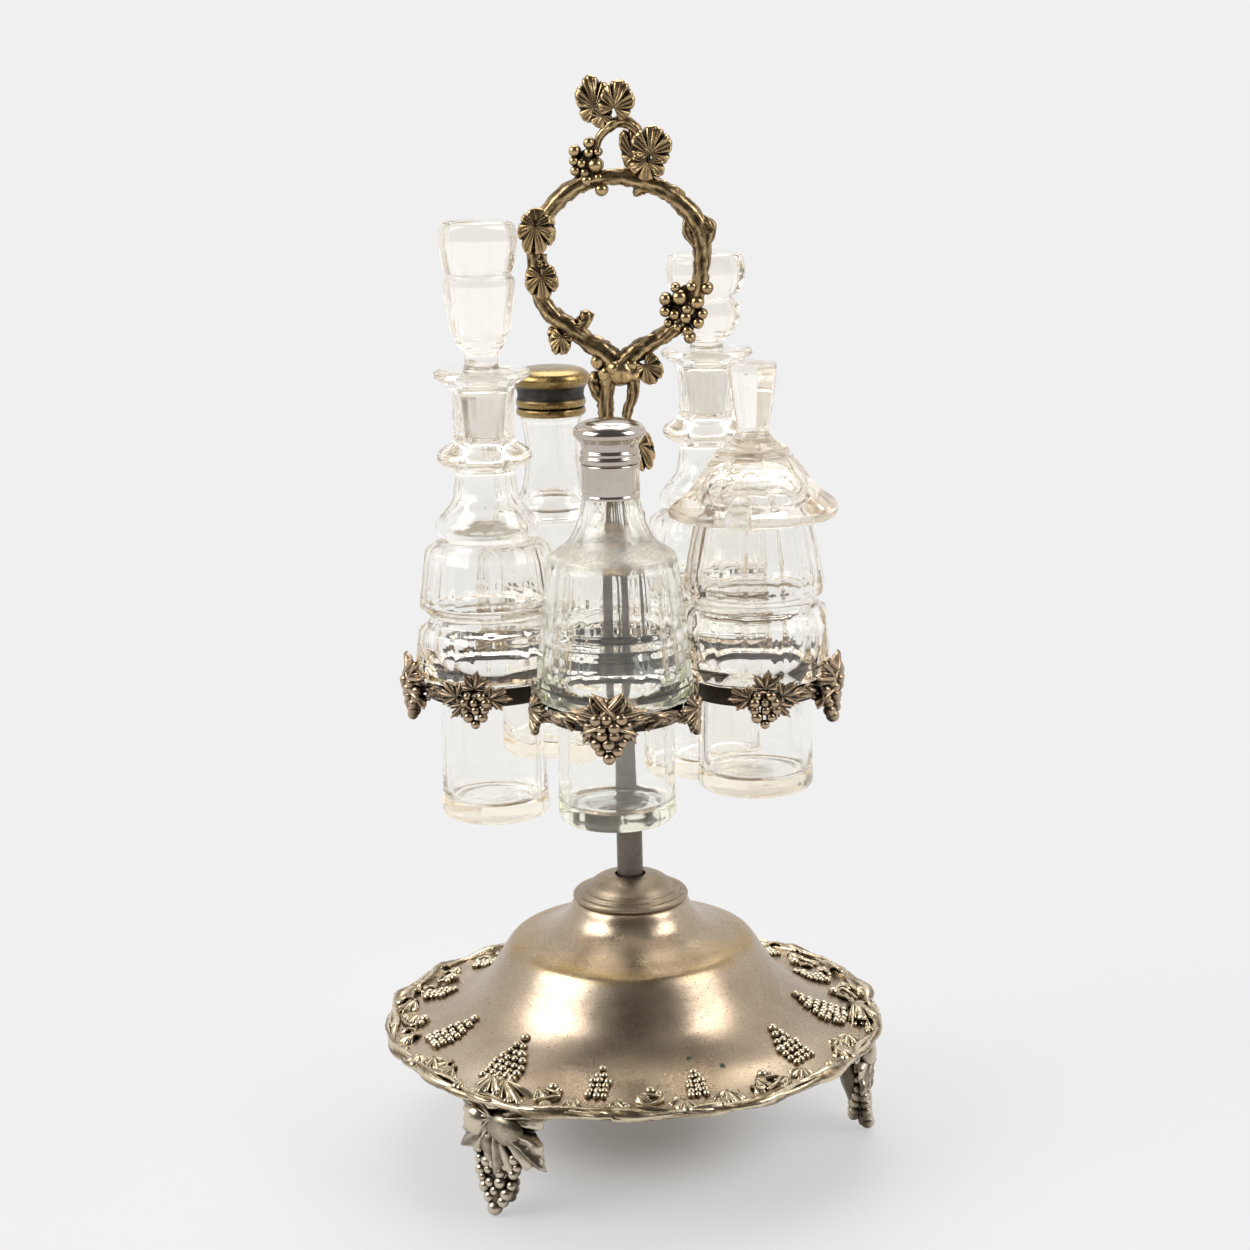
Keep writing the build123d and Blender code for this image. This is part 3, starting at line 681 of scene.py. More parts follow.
cap_rows = smooth([(6.0, 105.8), (9.0, 105.5), (12.5, 104.4), (15.2, 102.6), (16.4, 101.2), (16.9, 100.2),
    (17.5, 99.95), (18.4, 100.25), (19.3, 99.9), (19.7, 99.0), (20.3, 98.7), (21.4, 98.9), (22.2, 98.2),
    (22.4, 97.2), (21.8, 96.4), (21.0, 96.4), (21.0, 96.4), (17.4, 97.8), (15.2, 98.9), (13.0, 101.6),
    (9.0, 103.4), (6.0, 103.8), (6.0, 103.8), (6.0, 105.8)], 5)
make_piece("stepped_cap", lathe([(r, z, 0.0) for r, z in cap_rows], ANGLES_96, NO_FALL_96), CAP, "base",
           ["dome_cap"])


# ---------------------------------------------------------------- rim vine and relief
def on_plate(angle, radius, lift=0.0):
    x, y = spot(angle, radius)
    return x, y, plate_height(min(radius, 95.0)) + lift


def on_flange(angle, radius, twist=0.0, lift=0.0):
    """Places leaf coordinates on the plate: v points outward, w away from the surface."""
    a = math.radians(angle)
    out = np.array((math.sin(a), -math.cos(a), 0.0))
    across = np.array((math.cos(a), math.sin(a), 0.0))
    slope = plate_slope(min(radius, 92.0))
    down = out + np.array((0.0, 0.0, slope))
    down /= np.linalg.norm(down)
    normal = np.cross(across, down)
    if normal[2] < 0:
        normal = -normal
    c, s = math.cos(math.radians(twist)), math.sin(math.radians(twist))
    u_axis = across * c + down * s
    v_axis = down * c - across * s
    return placed(on_plate(angle, radius, lift), u_axis, v_axis, normal)


def rim_strand(offset, swing, lift, thick, waves, phase, seed):
    """Wavy branch that runs round the plate's edge."""
    path, radii = [], []
    steps = 540
    for i in range(steps):
        a = 360.0 * i / steps
        wave = math.sin(math.radians(a * waves + phase))
        other = math.cos(math.radians(a * waves * 0.5 + phase * 1.7))
        grain = noise.noise(Vector((math.cos(math.radians(a)) * 9.0, math.sin(math.radians(a)) * 9.0, seed)))
        r = offset + swing * wave + 0.5 * grain
        x, y = spot(a, r)
        path.append((x, y, 46.9 + lift * other + 0.25 * grain))
        radii.append(thick * (1.0 + 0.26 * math.sin(math.radians(a * waves * 1.5 + 40)) + 0.25 * grain))
    return tube(path, radii, 12, 3, 0.10, 0.05, 0.16, seed, closed=True, normal=(0, 0, 1))


rim = rim_strand(94.9, 1.3, 0.5, 2.0, 14, 0, 1.0)
rim.merge(rim_strand(93.9, 2.2, 0.9, 1.2, 14, 180, 2.0))
rim.merge(rim_strand(95.6, 0.9, 0.5, 1.2, 9, 70, 4.0))
for step in range(27):
    angle = step * 13.333 + 3.0 * math.sin(step * 2.1)
    size = 4.6 + 1.8 * math.sin(step * 1.7)
    x, y = spot(angle, 94.6)
    a = math.radians(angle + 40.0 * math.sin(step * 3.1))
    across, out = (math.cos(a), math.sin(a), 0.0), (math.sin(a), -math.cos(a), 0.0)
    rim.merge(leaf(size * 1.5, size, 3, 95, 0.25, 0.0, 0.3, 0.06, 2, 0.03, 0.9, step, rows=7, cols=37,
        pointed=0.5), placed((x - out[0] * size * 0.6, y - out[1] * size * 0.6, 48.0), across, out,
        (0, 0, 1)))
make_piece("rim_vine_twist", rim, BORDER, "base", ["rim_vine"])


def bunch_on_plate(angle, tip_radius, rows, widest, size=1.75, lean=0.0):
    balls = []
    for row in range(rows + 2):
        radius = tip_radius + row * size * 1.55
        count = min(row + 1, widest)
        for k in range(count):
            jitter = random.uniform(-0.35, 0.35)
            swing = math.degrees(((k - (count - 1) / 2) * size * 1.75 + jitter + lean * row) / radius)
            x, y, z = on_plate(angle + swing, radius + random.uniform(-0.35, 0.35), size * 0.30)
            balls.append((x, y, z, size * random.uniform(0.82, 1.14)))
    a = math.radians(angle)
    return grapes(balls, (0.35 * math.sin(a), -0.35 * math.cos(a), 1.0))


relief = Shape()
for foot_angle in FOOT_ANGLES.values():
    def at(offset, base=foot_angle):
        return base + offset

    for offset, tip, rows, widest, size, lean in ((-5.0, 64.0, 6, 5, 1.75, 0.25),
            (87.0, 66.0, 5, 4, 1.75, -0.45), (25.0, 70.5, 4, 3, 1.6, -0.1),
            (51.5, 73.0, 4, 3, 1.55, -0.35)):
        relief.merge(bunch_on_plate(at(offset), tip, rows, widest, size, lean))
    for offset, radius, lean in ((13.0, 81.0, -50.0), (38.5, 81.0, -60.0), (69.5, 82.0, -50.0)):
        x, y, z = on_plate(at(offset), radius, 0.8)
        x2, y2, z2 = on_plate(at(offset + 2.0), radius + 1.4, 0.7)
        relief.merge(grapes([(x, y, z, 2.1), (x2, y2, z2, 1.5)]))
        curl = []
        for k in range(9):
            turn = k / 8
            curl.append(on_plate(at(offset - 2.6 + 5.4 * math.sin(turn * 3.0)), radius + 8.6 - 7.6 * turn,
                0.6 + 0.7 * math.sin(turn * 3.1)))
        relief.merge(tube(smooth(curl, 3), 0.85, 8, 3, 0.1, 0.4, 0.2, offset))
        relief.merge(leaf(7.0, 6.4, 3, 80, 0.3, thick=0.9, rows=7, cols=41, seed=offset, pointed=0.6),
            on_flange(at(offset - 3.2), radius + 2.6, lean, 0.2))
    for offset, radius, width, length, twist, lift in ((-15.5, 86.0, 12.0, 10.0, 40.0, 0.4),
            (17.5, 87.0, 7.0, 6.5, -70.0, 0.4), (20.5, 86.0, 7.5, 7.5, 35.0, 0.4),
            (29.5, 86.0, 7.5, 7.5, -40.0, 0.4), (33.5, 88.5, 6.5, 6.0, 80.0, 0.5),
            (46.0, 86.5, 8.0, 7.5, 40.0, 0.4), (56.5, 86.0, 12.5, 10.5, -15.0, 0.5),
            (63.5, 88.0, 7.0, 6.5, -80.0, 0.4), (80.0, 86.5, 10.5, 9.0, 50.0, 0.4),
            (94.5, 86.0, 11.5, 9.5, -30.0, 0.4), (101.0, 85.0, 9.0, 8.0, 60.0, 0.4),
            (74.5, 88.5, 6.5, 6.0, 90.0, 0.4)):
        relief.merge(leaf(width, length, 5, 110, 0.34, thick=1.1, rows=9, cols=57, dome=0.2, seed=offset,
            pointed=0.7), on_flange(at(offset), radius, twist, lift - 0.6))
    relief.merge(leaf(27.0, 13.5, 5, 112, 0.36, thick=1.6, dome=0.20, ribs=3, seed=foot_angle, droop=0.14,
        pointed=0.6), on_flange(at(1.0), 84.0, 0.0, 0.8))
    relief.merge(leaf(13.0, 9.0, 3, 95, 0.3, thick=1.4, dome=0.3, seed=foot_angle + 3, pointed=0.5),
        on_flange(at(-1.5), 87.0, 8.0, 2.0))
make_piece("border_relief_cast", relief, BORDER, "base", ["border_relief"])


# ---------------------------------------------------------------- feet
def foot_shape(seed):
    """Cast leaf over a hanging bunch, drawn at the front with its face along -Y."""
    shape = Shape()
    core = [(44.8, -86.0, 10.5, 4.8), (40.0, -85.6, 11.5, 5.2), (34.0, -84.6, 12.0, 5.2),
            (27.0, -84.8, 9.5, 4.8), (20.0, -86.2, 7.6, 4.4), (13.0, -88.2, 6.0, 3.8),
            (7.0, -90.0, 4.0, 3.2), (1.6, -90.8, 1.8, 1.8)]
    around = 28
    fine = smooth(core, 4)
    points, faces, values = [], [], []
    for z, y, wide, deep in fine:
        for k in range(around):
            a = TAU * k / around
            rough = 1.0 + 0.07 * wobble(wide * math.cos(a), deep * math.sin(a), z, 0.3, seed)
            points.append((wide * math.cos(a) * rough, y + deep * math.sin(a) * rough, z))
            values.append(0.2)
    for i in range(len(fine) - 1):
        for k in range(around):
            m = (k + 1) % around
            faces.append((i * around + k, i * around + m, (i + 1) * around + m, (i + 1) * around + k))
    faces.append(tuple(reversed(range(around))))
    faces.append(tuple(range((len(fine) - 1) * around, len(fine) * around)))
    shape.add(points, faces, values)
    shape.merge(leaf(42.0, 36.0, 5, 124, 0.36, 0.12, 0.10, 0.03, 2, 0.022, 2.0, seed, rows=19, cols=141,
        droop=0.06, pointed=0.8), placed((1.6, -88.4, 46.0), (1, 0, 0), (0, -0.13, -0.99),
        (0, -0.99, 0.13)))
    for x, z, width, length, turn, lift in ((2.6, 38.0, 21.0, 17.0, 118, -89.6),
            (-0.5, 37.0, 17.0, 21.5, 176, -90.4), (-3.6, 38.0, 17.0, 14.5, 236, -89.4)):
        c, sn = math.cos(math.radians(turn)), math.sin(math.radians(turn))
        lobe = leaf(width, length, 3, 92, 0.40, 0.12, 0.14, 0.03, 2, 0.03, 1.8, seed + x + turn, rows=15,
                    cols=81, droop=0.10, pointed=0.85)
        shape.merge(lobe, placed((x, lift, z), (c, 0, -sn), (sn, 0.05, c), (0, -1, 0.05)))
    shape.merge(boss(-7.8, -91.6, 35.8, (5.4, 4.0, 6.2), 1.0))
    shape.merge(boss(5.0, -92.0, 35.2, (8.4, 3.6, 6.6), 0.6))
    shape.merge(boss(-1.6, -91.8, 28.4, (4.4, 3.2, 5.0), 0.5))
    balls = []
    for z, half, count in ((24.0, 8.0, 4), (20.4, 8.4, 5), (16.8, 7.6, 4), (13.2, 6.2, 4), (9.8, 4.8, 3),
            (6.4, 3.0, 2), (3.0, 0.0, 1)):
        for k in range(count):
            x = (k - (count - 1) / 2) * (2 * half / max(count - 1, 1)) + random.uniform(-0.6, 0.6)
            bulge = 2.2 * (1.0 - (x / 11.0) ** 2)
            radius = 2.9 if count == 1 else random.uniform(1.9, 2.6)
            balls.append((x, -90.2 - bulge + z * 0.05, max(z + random.uniform(-0.7, 0.7), radius + 0.05),
                radius))
    shape.merge(grapes(balls, (0, -1, 0.3)))
    shape.merge(grapes([(x * 0.9, -178.6 - y, z, r) for x, y, z, r in balls if z > 6.0], (0, 1, 0.3)))
    shape.points = [(x, y, min(max(z, 0.02), 47.4)) for x, y, z in shape.points]
    return shape


for name, angle in FOOT_ANGLES.items():
    turned_foot = Shape().merge(foot_shape(angle * 0.1), turned_about_z(angle))
    make_piece(f"leaf_foot_{name}", turned_foot, FOOT, "base", [f"foot_{name}"])

# ---------------------------------------------------------------- column and rings
for node_name, material in (("centre_rod", ROD), ("retaining_washer", HIDDEN), ("retaining_nut", HIDDEN),
        ("pivot_bush", HIDDEN), ("frame_hub", BAND)):
    mesh = nodes[node_name].data
    mesh.materials.clear()
    mesh.materials.append(material)
for ring in RING_ANGLES:
    mesh = nodes[f"ring_{ring}"].data
    mesh.materials.clear()
    mesh.materials.append(BAND)

capital_rows = smooth([(5.05, 232.0), (6.6, 232.4), (7.4, 236.0), (6.4, 241.0), (8.0, 245.0), (8.5, 248.0),
    (7.0, 250.0), (7.0, 250.0), (0.0, 250.4)], 6)
capital = lathe([(r, z, 0.0) for r, z in capital_rows], ANGLES_96, NO_FALL_96, wear=0.5)
make_piece("bar_capital", capital, VINE, "column", ["rod_capital"])


def round_ring(s, h, z):
    """Arc length along a band, distance out from it and height, for a ring whose far side faces -Y."""
    a = s / BAND_OUT
    return (BAND_OUT + h) * math.sin(a), -(BAND_OUT + h) * math.cos(a), z


def leaf_on_ring(shape, s, h, z, degrees, lean, source):
    """Lays a leaf against a band. degrees turns its tip from straight down, lean tips it outward."""
    c, sn = math.cos(math.radians(degrees)), math.sin(math.radians(degrees))

    def place(p):
        u, v, w = p
        across = u * c + v * sn
        down = v * c - u * sn
        out = h + w + lean * v
        height = z - down
        if height > SEAT_Z - 1.6:
            out = max(out, 5.1)
        out = max(out, 0.15)
        return round_ring(s + across, out, height)

    shape.merge(source, place)


def garland_shape(seed, reaches):
    """Twisted stems with leaves and grapes. reaches are the arc lengths of the two ends."""
    shape = Shape()
    for reach in reaches:
        side, far = math.copysign(1.0, reach), abs(reach)
        share = far / 40.0
        path = smooth([round_ring(side * s * share, h, z + 0.5 * math.sin(seed + s)) for s, h,
            z in ((2, 3.0, 187.0), (8, 3.2, 187.8), (14, 2.9, 188.2), (20, 2.6, 187.0), (26, 2.6, 185.6),
                  (31, 2.8, 185.6), (36, 2.8, 187.2), (40, 2.4, 187.4))], 5)
        radii = [1.9 + 0.45 * math.sin(i * 0.55 + seed) for i in range(len(path))]
        shape.merge(tube(path, radii, 14, 5, 0.16, 0.25 * side, 0.28, seed, normal=(0, 0, 1)))
        path = smooth([round_ring(side * s * share, h, z) for s, h,
            z in ((12, 3.6, 185.2), (17, 3.8, 188.4), (22, 3.5, 189.0), (27, 3.5, 187.2), (31, 3.2, 184.4),
                  (34, 2.8, 183.6))], 4)
        shape.merge(tube(path, 1.2, 10, 4, 0.16, 0.4, 0.25, seed + 1, normal=(0, 0, 1)))
    for s, h, z, degrees, lean, width, length in ((-5.0, 4.6, 189.4, 104, 0.14, 18, 17),
            (5.0, 4.6, 189.4, -104, 0.14, 18, 17), (-6.6, 4.0, 187.6, 66, 0.10, 14, 13.0),
            (6.6, 4.0, 187.6, -66, 0.10, 14, 13.0)):
        source = leaf(width, length, 5, 115, 0.40, 0.16, 0.16, 0.12, 3, 0.05, 1.4, seed + s, rows=11,
            cols=81, pointed=0.85)
        leaf_on_ring(shape, s, h, z, degrees, lean, source)
    balls = []
    for row, (z, half, count) in enumerate(((190.2, 3.6, 3), (187.4, 5.4, 4), (184.6, 5.2, 4),
            (181.8, 3.4, 3), (179.2, 2.4, 2), (176.6, 0.0, 1))):
        for k in range(count):
            s = (k - (count - 1) / 2) * (2 * half / max(count - 1, 1)) + random.uniform(-0.5, 0.5)
            x, y, height = round_ring(s, 8.0 - 0.07 * s * s - 0.40 * row, z + random.uniform(-0.5, 0.5))
            balls.append((x, y, height, random.uniform(2.0, 2.6)))
    shape.merge(grapes(balls, (0, -1, 0.35)))
    for reach in reaches:
        side = math.copysign(1.0, reach)
        s0 = reach * 0.95
        for ds, h, z, degrees, lean, width, length in ((0.0, 3.2, 190.4, 172, 0.10, 10, 8.5),
                (-3.6 * side, 3.4, 188.4, -96 * side, 0.14, 11, 10),
                (3.2 * side, 3.0, 188.0, 84 * side, 0.10, 11, 9),
                (-2.4 * side, 3.8, 187.0, -38 * side, 0.14, 9, 9)):
            source = leaf(width, length, 5, 115, 0.38, 0.14, 0.20, 0.12, 3, 0.05, 1.4, seed + ds, rows=11,
                cols=73, pointed=0.7)
            leaf_on_ring(shape, s0 + ds, h, z, degrees, lean, source)
        balls = []
        for z, half, count in ((188.6, 2.2, 2), (186.2, 3.4, 3), (183.4, 3.2, 3), (180.8, 2.2, 2),
                (178.2, 0.0, 1)):
            for k in range(count):
                s = s0 + (k - (count - 1) / 2) * (2 * half / max(count - 1, 1)) + random.uniform(-0.4, 0.4)
                x, y, height = round_ring(s, 4.9, z)
                balls.append((x, y, height, random.uniform(1.6, 2.3)))
        a = s0 / BAND_OUT
        shape.merge(grapes(balls, (math.sin(a), -math.cos(a), 0.3)))
    return shape


GARLAND_ENDS = {"front": (-39.0, 39.0), "right": (-28.5, 36.0), "back_right": (-39.0, 39.0),
    "back_left": (-39.0, 39.0), "left": (-36.0, 30.0)}
for index, (ring, angle) in enumerate(RING_ANGLES.items()):
    x, y = spot(angle, RING_PITCH)
    vine = Shape().merge(garland_shape(1.7 * index + 0.4, GARLAND_ENDS[ring]),
        turned_about_z(angle, (x, y, 0)))
    make_piece(f"vine_garland_{ring}", vine, GARLAND, "column", [f"garland_{ring}"])

# ---------------------------------------------------------------- handle
LOOP = [(0.4, 303.0), (-5.3, 308.5), (-11.8, 313.1), (-18.3, 318.4), (-25.3, 323.7), (-29.5, 332.0),
        (-30.6, 343.0), (-29.0, 353.5), (-24.3, 361.8), (-14.4, 369.7), (-6.0, 372.2), (2.6, 372.8),
        (10.4, 370.6), (17.6, 368.0), (23.6, 363.4), (28.0, 357.8), (30.8, 351.5), (31.2, 344.0),
        (30.3, 335.0), (27.6, 326.4), (23.4, 320.3), (17.3, 315.2), (10.6, 311.4), (4.6, 307.5),
        (0.4, 303.0)]


def in_plane(points, depth=None):
    """Handle points (x, z) with a gentle sway out of the plane."""
    out = []
    for i, (x, z) in enumerate(points):
        sway = depth[i] if depth else 0.35 * math.sin(i * 1.3)
        out.append((x, sway, z))
    return out


def stem(points, thick, seed=0.0, sways=None):
    path = smooth(in_plane(points, sways), 6)
    n = len(path)
    if hasattr(thick, "__len__"):
        radii = list(np.interp(np.linspace(0, 1, n), np.linspace(0, 1, len(thick)), thick))
    else:
        radii = [thick] * n
    return tube(path, radii, 18, lobes=6, depth=0.075, twist=0.045, grain=0.30, seed=seed)


handle = Shape()
loop_thick = [4.2, 3.9, 3.5, 3.4, 3.2, 2.9, 2.8, 2.9, 3.1, 3.2, 3.0, 2.9, 3.3, 3.3, 3.2, 3.4, 3.6, 3.0, 2.8,
    2.8, 3.0, 3.2, 3.4, 3.8, 4.2]
handle.merge(stem(LOOP, loop_thick, seed=1.0))
handle.merge(stem([(-3.2, 249), (-4.6, 262), (-5.6, 276), (-5.6, 286), (-5.2, 294), (-2.4, 303)],
    [2.6, 2.7, 2.7, 2.8, 3.0, 3.4], seed=2.0, sways=[0, 1.4, 0.8, 0, 0, 0]))
handle.merge(stem([(3.2, 249), (1.8, 262), (1.0, 276), (2.4, 286), (5.0, 294), (4.4, 303)],
    [2.2, 1.9, 1.8, 1.8, 2.3, 3.0], seed=3.0, sways=[0, -1.4, -0.8, 0, 0, 0]))
handle.merge(stem([(-6.0, 290.0), (-8.6, 293.5), (-9.8, 297.5), (-8.8, 300.0)], [2.2, 2.0, 2.3, 1.6],
    seed=4.0))
handle.merge(stem([(-6.4, 372.5), (-7.2, 380), (-6.2, 385.8), (-3.8, 389.2), (-0.6, 391.6), (3.1, 392.6),
    (6.3, 391.2), (9.2, 387.6), (11.2, 381), (10.4, 372.5)], [1.5, 1.3, 1.4, 1.7, 2.1, 2.4, 2.1, 1.6, 1.5,
    1.6], seed=5.0))
handle.merge(stem([(-18.0, 318.0), (-15.2, 318.6), (-12.6, 320.6), (-11.8, 323.6)], [2.6, 2.7, 2.6, 2.5],
    seed=6.0))
handle.merge(stem([(12.5, 370.0), (9.0, 368.2), (6.8, 366.2)], [3.0, 2.3, 1.2], seed=7.0))
handle.merge(stem([(28.6, 359.0), (31.6, 356.8), (34.2, 354.2), (33.8, 350.6), (31.6, 347.0)],
    [1.8, 2.0, 2.4, 1.9, 1.4], seed=8.0))
handle.merge(stem([(26.6, 358.5), (26.0, 355.0), (26.4, 351.4), (29.0, 347.0)], [1.6, 2.1, 1.9, 1.2],
    seed=9.0))
handle.merge(stem([(-29.0, 344.0), (-28.6, 342.4), (-28.4, 340.6)], [3.0, 2.5, 3.0], seed=9.5))
fork = grapes([(0.6, 0.0, 301.6, 5.6), (-4.6, 0.4, 300.8, 4.0), (5.2, -0.4, 301.4, 3.8),
    (-8.0, -0.6, 305.4, 2.8), (-9.4, 0.6, 299.4, 2.4), (4.6, -1.8, 304.6, 2.6), (-1.8, -2.4, 303.0, 3.0)],
    (0, -1, 0.3))
fork.points = [(x, y + 0.5 * wobble(x, y, z, 0.5), z + 0.8 * wobble(x, y, z, 0.4, 2.0)) for x, y,
    z in fork.points]
handle.merge(fork)
make_piece("handle_stems", handle, VINE, "column", ["handle_vine"])


def handle_leaf(x, z, width, height, turn, depth, seed, lobes=5, lean=0.0):
    """Leaf standing in the handle's plane. Its stalk is at (x, z) and turn is its tip's direction from up."""
    source = leaf(width, height, lobes, 140, 0.15, 0.03, 0.12, 0.05, 2, 0.035, 1.8, seed, rows=13, cols=121)
    c, s = math.cos(math.radians(turn)), math.sin(math.radians(turn))
    return source, placed((x, depth, z), (c, 0, -s), (s, lean, c), (0, -1, lean))


foliage = Shape()
for x, z, width, height, turn, depth, seed, lobes, lean in ((-0.9, 394.0, 13.4, 14.0, 18, -1.6, 1.0, 5,
        -0.06), (-5.8, 392.8, 13.4, 17.2, -12, 0.8, 2.0, 5, 0.06),
        (-3.4, 396.2, 9.0, 6.4, -150, -0.4, 3.0, 3, 0.0), (-1.0, 394.0, 12.6, 14.0, 12, 2.0, 3.5, 5, 0.06),
        (12.4, 377.4, 15.6, 14.0, 10, -1.6, 4.0, 5, -0.06), (12.4, 381.0, 13.0, 10.0, -172, -2.2, 5.0, 5,
        -0.06), (7.6, 375.4, 9.0, 15.0, -12, 0.4, 6.0, 4, 0.06),
        (12.0, 377.0, 15.0, 14.0, 8, 2.0, 6.5, 5, 0.06), (-29.0, 360.6, 13.6, 15.4, 186, -2.8, 7.0, 6,
        -0.05), (-28.8, 355.0, 11.0, 7.4, -4, -2.2, 8.0, 3, -0.05),
        (-28.8, 360.4, 13.0, 15.0, 182, 2.8, 9.0, 5, 0.05), (-28.4, 341.4, 12.4, 13.0, 174, -2.6, 10.0, 5,
        -0.05), (-28.6, 341.2, 11.6, 12.6, 184, 2.6, 11.0, 5, 0.05),
        (-20.6, 318.0, 8.6, 10.0, 190, -1.6, 12.0, 4, -0.10), (-22.8, 319.0, 6.5, 8.0, 196, 1.4, 13.0, 3,
        0.10), (7.8, 306.8, 10.4, 11.0, 140, -1.6, 14.0, 4, -0.10),
        (7.6, 306.2, 9.0, 10.0, 146, 1.6, 15.0, 4, 0.10), (5.6, 279.5, 8.4, 15.4, 166, -1.0, 16.0, 4,
        -0.05), (6.0, 279.0, 7.6, 13.0, 156, 1.0, 17.0, 3, 0.05)):
    source, place = handle_leaf(x, z, width, height, turn, depth, seed, lobes, lean)
    foliage.merge(source, place)
# Flattened dark cores behind the handle's grape bunches: painted shade in the gaps between the grapes.
for x, z, wide, tall in ((-10.2, 377.0, 4.6, 6.0), (24.6, 323.4, 6.4, 7.4), (26.6, 330.0, 5.0, 3.6)):
    foliage.merge(boss(x, 0.0, z, (wide, 2.4, tall), 0.1))

balls = []
for x, z, radius in ((-9.4, 385.2, 2.1), (-14.7, 382.4, 2.2), (-9.5, 381.6, 2.0), (-12.2, 377.8, 1.9),
        (-7.2, 377.2, 2.9), (-14.6, 375.3, 1.9), (-10.4, 371.7, 2.2), (-6.2, 372.7, 1.7),
        (-5.2, 368.3, 2.4), (-6.2, 381.9, 1.6), (-11.0, 374.6, 1.9), (-15.0, 378.8, 1.8)):
    for face in (-1, 1):
        balls.append((x, face * 1.7, z, radius))
for x, z, radius in ((27.2, 332.7, 2.1), (32.9, 332.0, 2.3), (22.8, 328.8, 3.0), (29.1, 326.9, 2.7),
        (17.6, 328.2, 2.4), (21.2, 332.4, 1.8), (20.8, 322.6, 2.2), (24.9, 321.4, 2.5), (29.4, 319.4, 2.2),
        (21.8, 318.0, 1.9), (25.6, 316.6, 2.1), (26.3, 314.0, 2.2), (17.4, 323.8, 2.1), (31.0, 322.6, 2.0),
        (25.4, 324.6, 2.2), (18.4, 319.6, 1.6)):
    for face in (-1, 1):
        balls.append((x, face * 1.9, z, radius))
front_back = grapes([b for b in balls if b[1] < 0], (0, -1, 0.3))
front_back.merge(grapes([b for b in balls if b[1] > 0], (0, 1, 0.3)))
foliage.merge(front_back)
make_piece("handle_leaves", foliage, VINE, "column", ["handle_foliage"])

# ---------------------------------------------------------------- glass
OUTSIDE_STEPS = 5
INSIDE_STEPS = 4
GLASS_CREASE = 38


def glass_piece(name, outer, inner, sides, phase, ring, body, material, wear):
    """Bottle from an outside and an inside profile of (radius, height, facet strength)."""
    rows = profile_rows(outer, OUTSIDE_STEPS) + profile_rows(inner, INSIDE_STEPS)
    angles, falls = facet_angles(sides, phase)
    x, y = spot(RING_ANGLES[ring], RING_PITCH)
    shape = lathe(rows, angles, falls, (x, y), wear)
    return make_piece(name, shape, material, body, [body], crease=GLASS_CREASE)


def dust_band(places):
    """Dust amount by height: (height, half width, amount)."""
    def amount(r, z):
        total = CLEAN_DUST
        for middle, half, strength in places:
            total += strength * max(0.0, 1.0 - abs(z - middle) / half)
        return min(1.0, total)
    return amount


OIL_OUT = [(0, 137.2), (12.0, 136.9), (17.6, 136.0), (19.6, 136.7), (20.4, 139.0), (20.0, 146.0),
           (19.4, 168.0), (19.2, 182.0), (19.4, 187.6), (20.2, 189.6, 0.2), (20.2, 189.6, 0.2),
           (23.6, 190.2, 0.5), (27.0, 190.6, 0.9), (28.5, 191.9, 1), (28.6, 194.0, 1), (28.0, 199.0, 1),
           (26.9, 207.2, 1), (26.2, 209.0, 1), (24.4, 210.3, 0.7), (22.6, 211.6, 0.3), (22.1, 213.0, 0.1),
           (22.7, 214.5, 0.3), (24.8, 215.4, 0.8), (26.1, 216.8, 1), (26.0, 218.8, 1), (25.0, 226.0, 1),
           (23.6, 236.6, 1), (22.9, 238.8, 1), (21.2, 240.4, 0.7), (18.4, 241.6, 0.2), (17.7, 242.6),
           (18.5, 244.4), (19.1, 247.0), (18.1, 249.8, 0.1), (14.8, 253.6, 0.5), (12.7, 256.8, 0.9),
           (11.9, 260.0, 1), (11.4, 267.0, 1), (12.4, 268.6, 0.5), (15.4, 270.0), (17.3, 271.7),
           (17.6, 273.2), (16.9, 275.0), (14.4, 276.9), (12.0, 278.4, 0.4), (11.2, 280.4, 1),
           (11.2, 288.0, 1), (11.5, 295.4, 1), (12.4, 298.6, 0.5), (15.4, 300.9), (17.3, 302.2),
           (17.8, 303.5), (17.1, 304.8), (15.0, 305.0), (11.6, 304.9)]
OIL_IN = [(10.4, 304.4), (10.1, 300.0), (6.5, 279.9), (7.0, 277.0), (7.4, 270.0), (8.0, 262.0),
          (9.4, 257.0), (12.8, 252.0), (15.6, 247.2), (15.2, 242.6), (19.6, 237.0), (21.6, 226.0),
          (22.2, 219.0), (19.4, 214.6), (19.4, 211.4), (22.8, 207.0), (23.6, 202.0), (22.4, 196.6),
          (19.8, 192.0), (17.2, 187.6), (16.5, 180.0), (17.0, 146.0), (15.4, 142.4), (8.0, 143.0),
          (0, 143.4)]
oil_dust = dust_band(((241.0, 4.0, 0.35), (272.0, 5.0, 0.30), (213.0, 3.0, 0.2), (302.0, 5.0, 0.25),
    (138.0, 3.5, 0.35)))
glass_piece("oil_bottle_left_glass", OIL_OUT, OIL_IN, 12, 8.0, "left", "oil_bottle_left", GLASS, oil_dust)
glass_piece("oil_bottle_back_glass", OIL_OUT, OIL_IN, 12, 3.0, "back_right", "oil_bottle_back", GLASS,
            oil_dust)

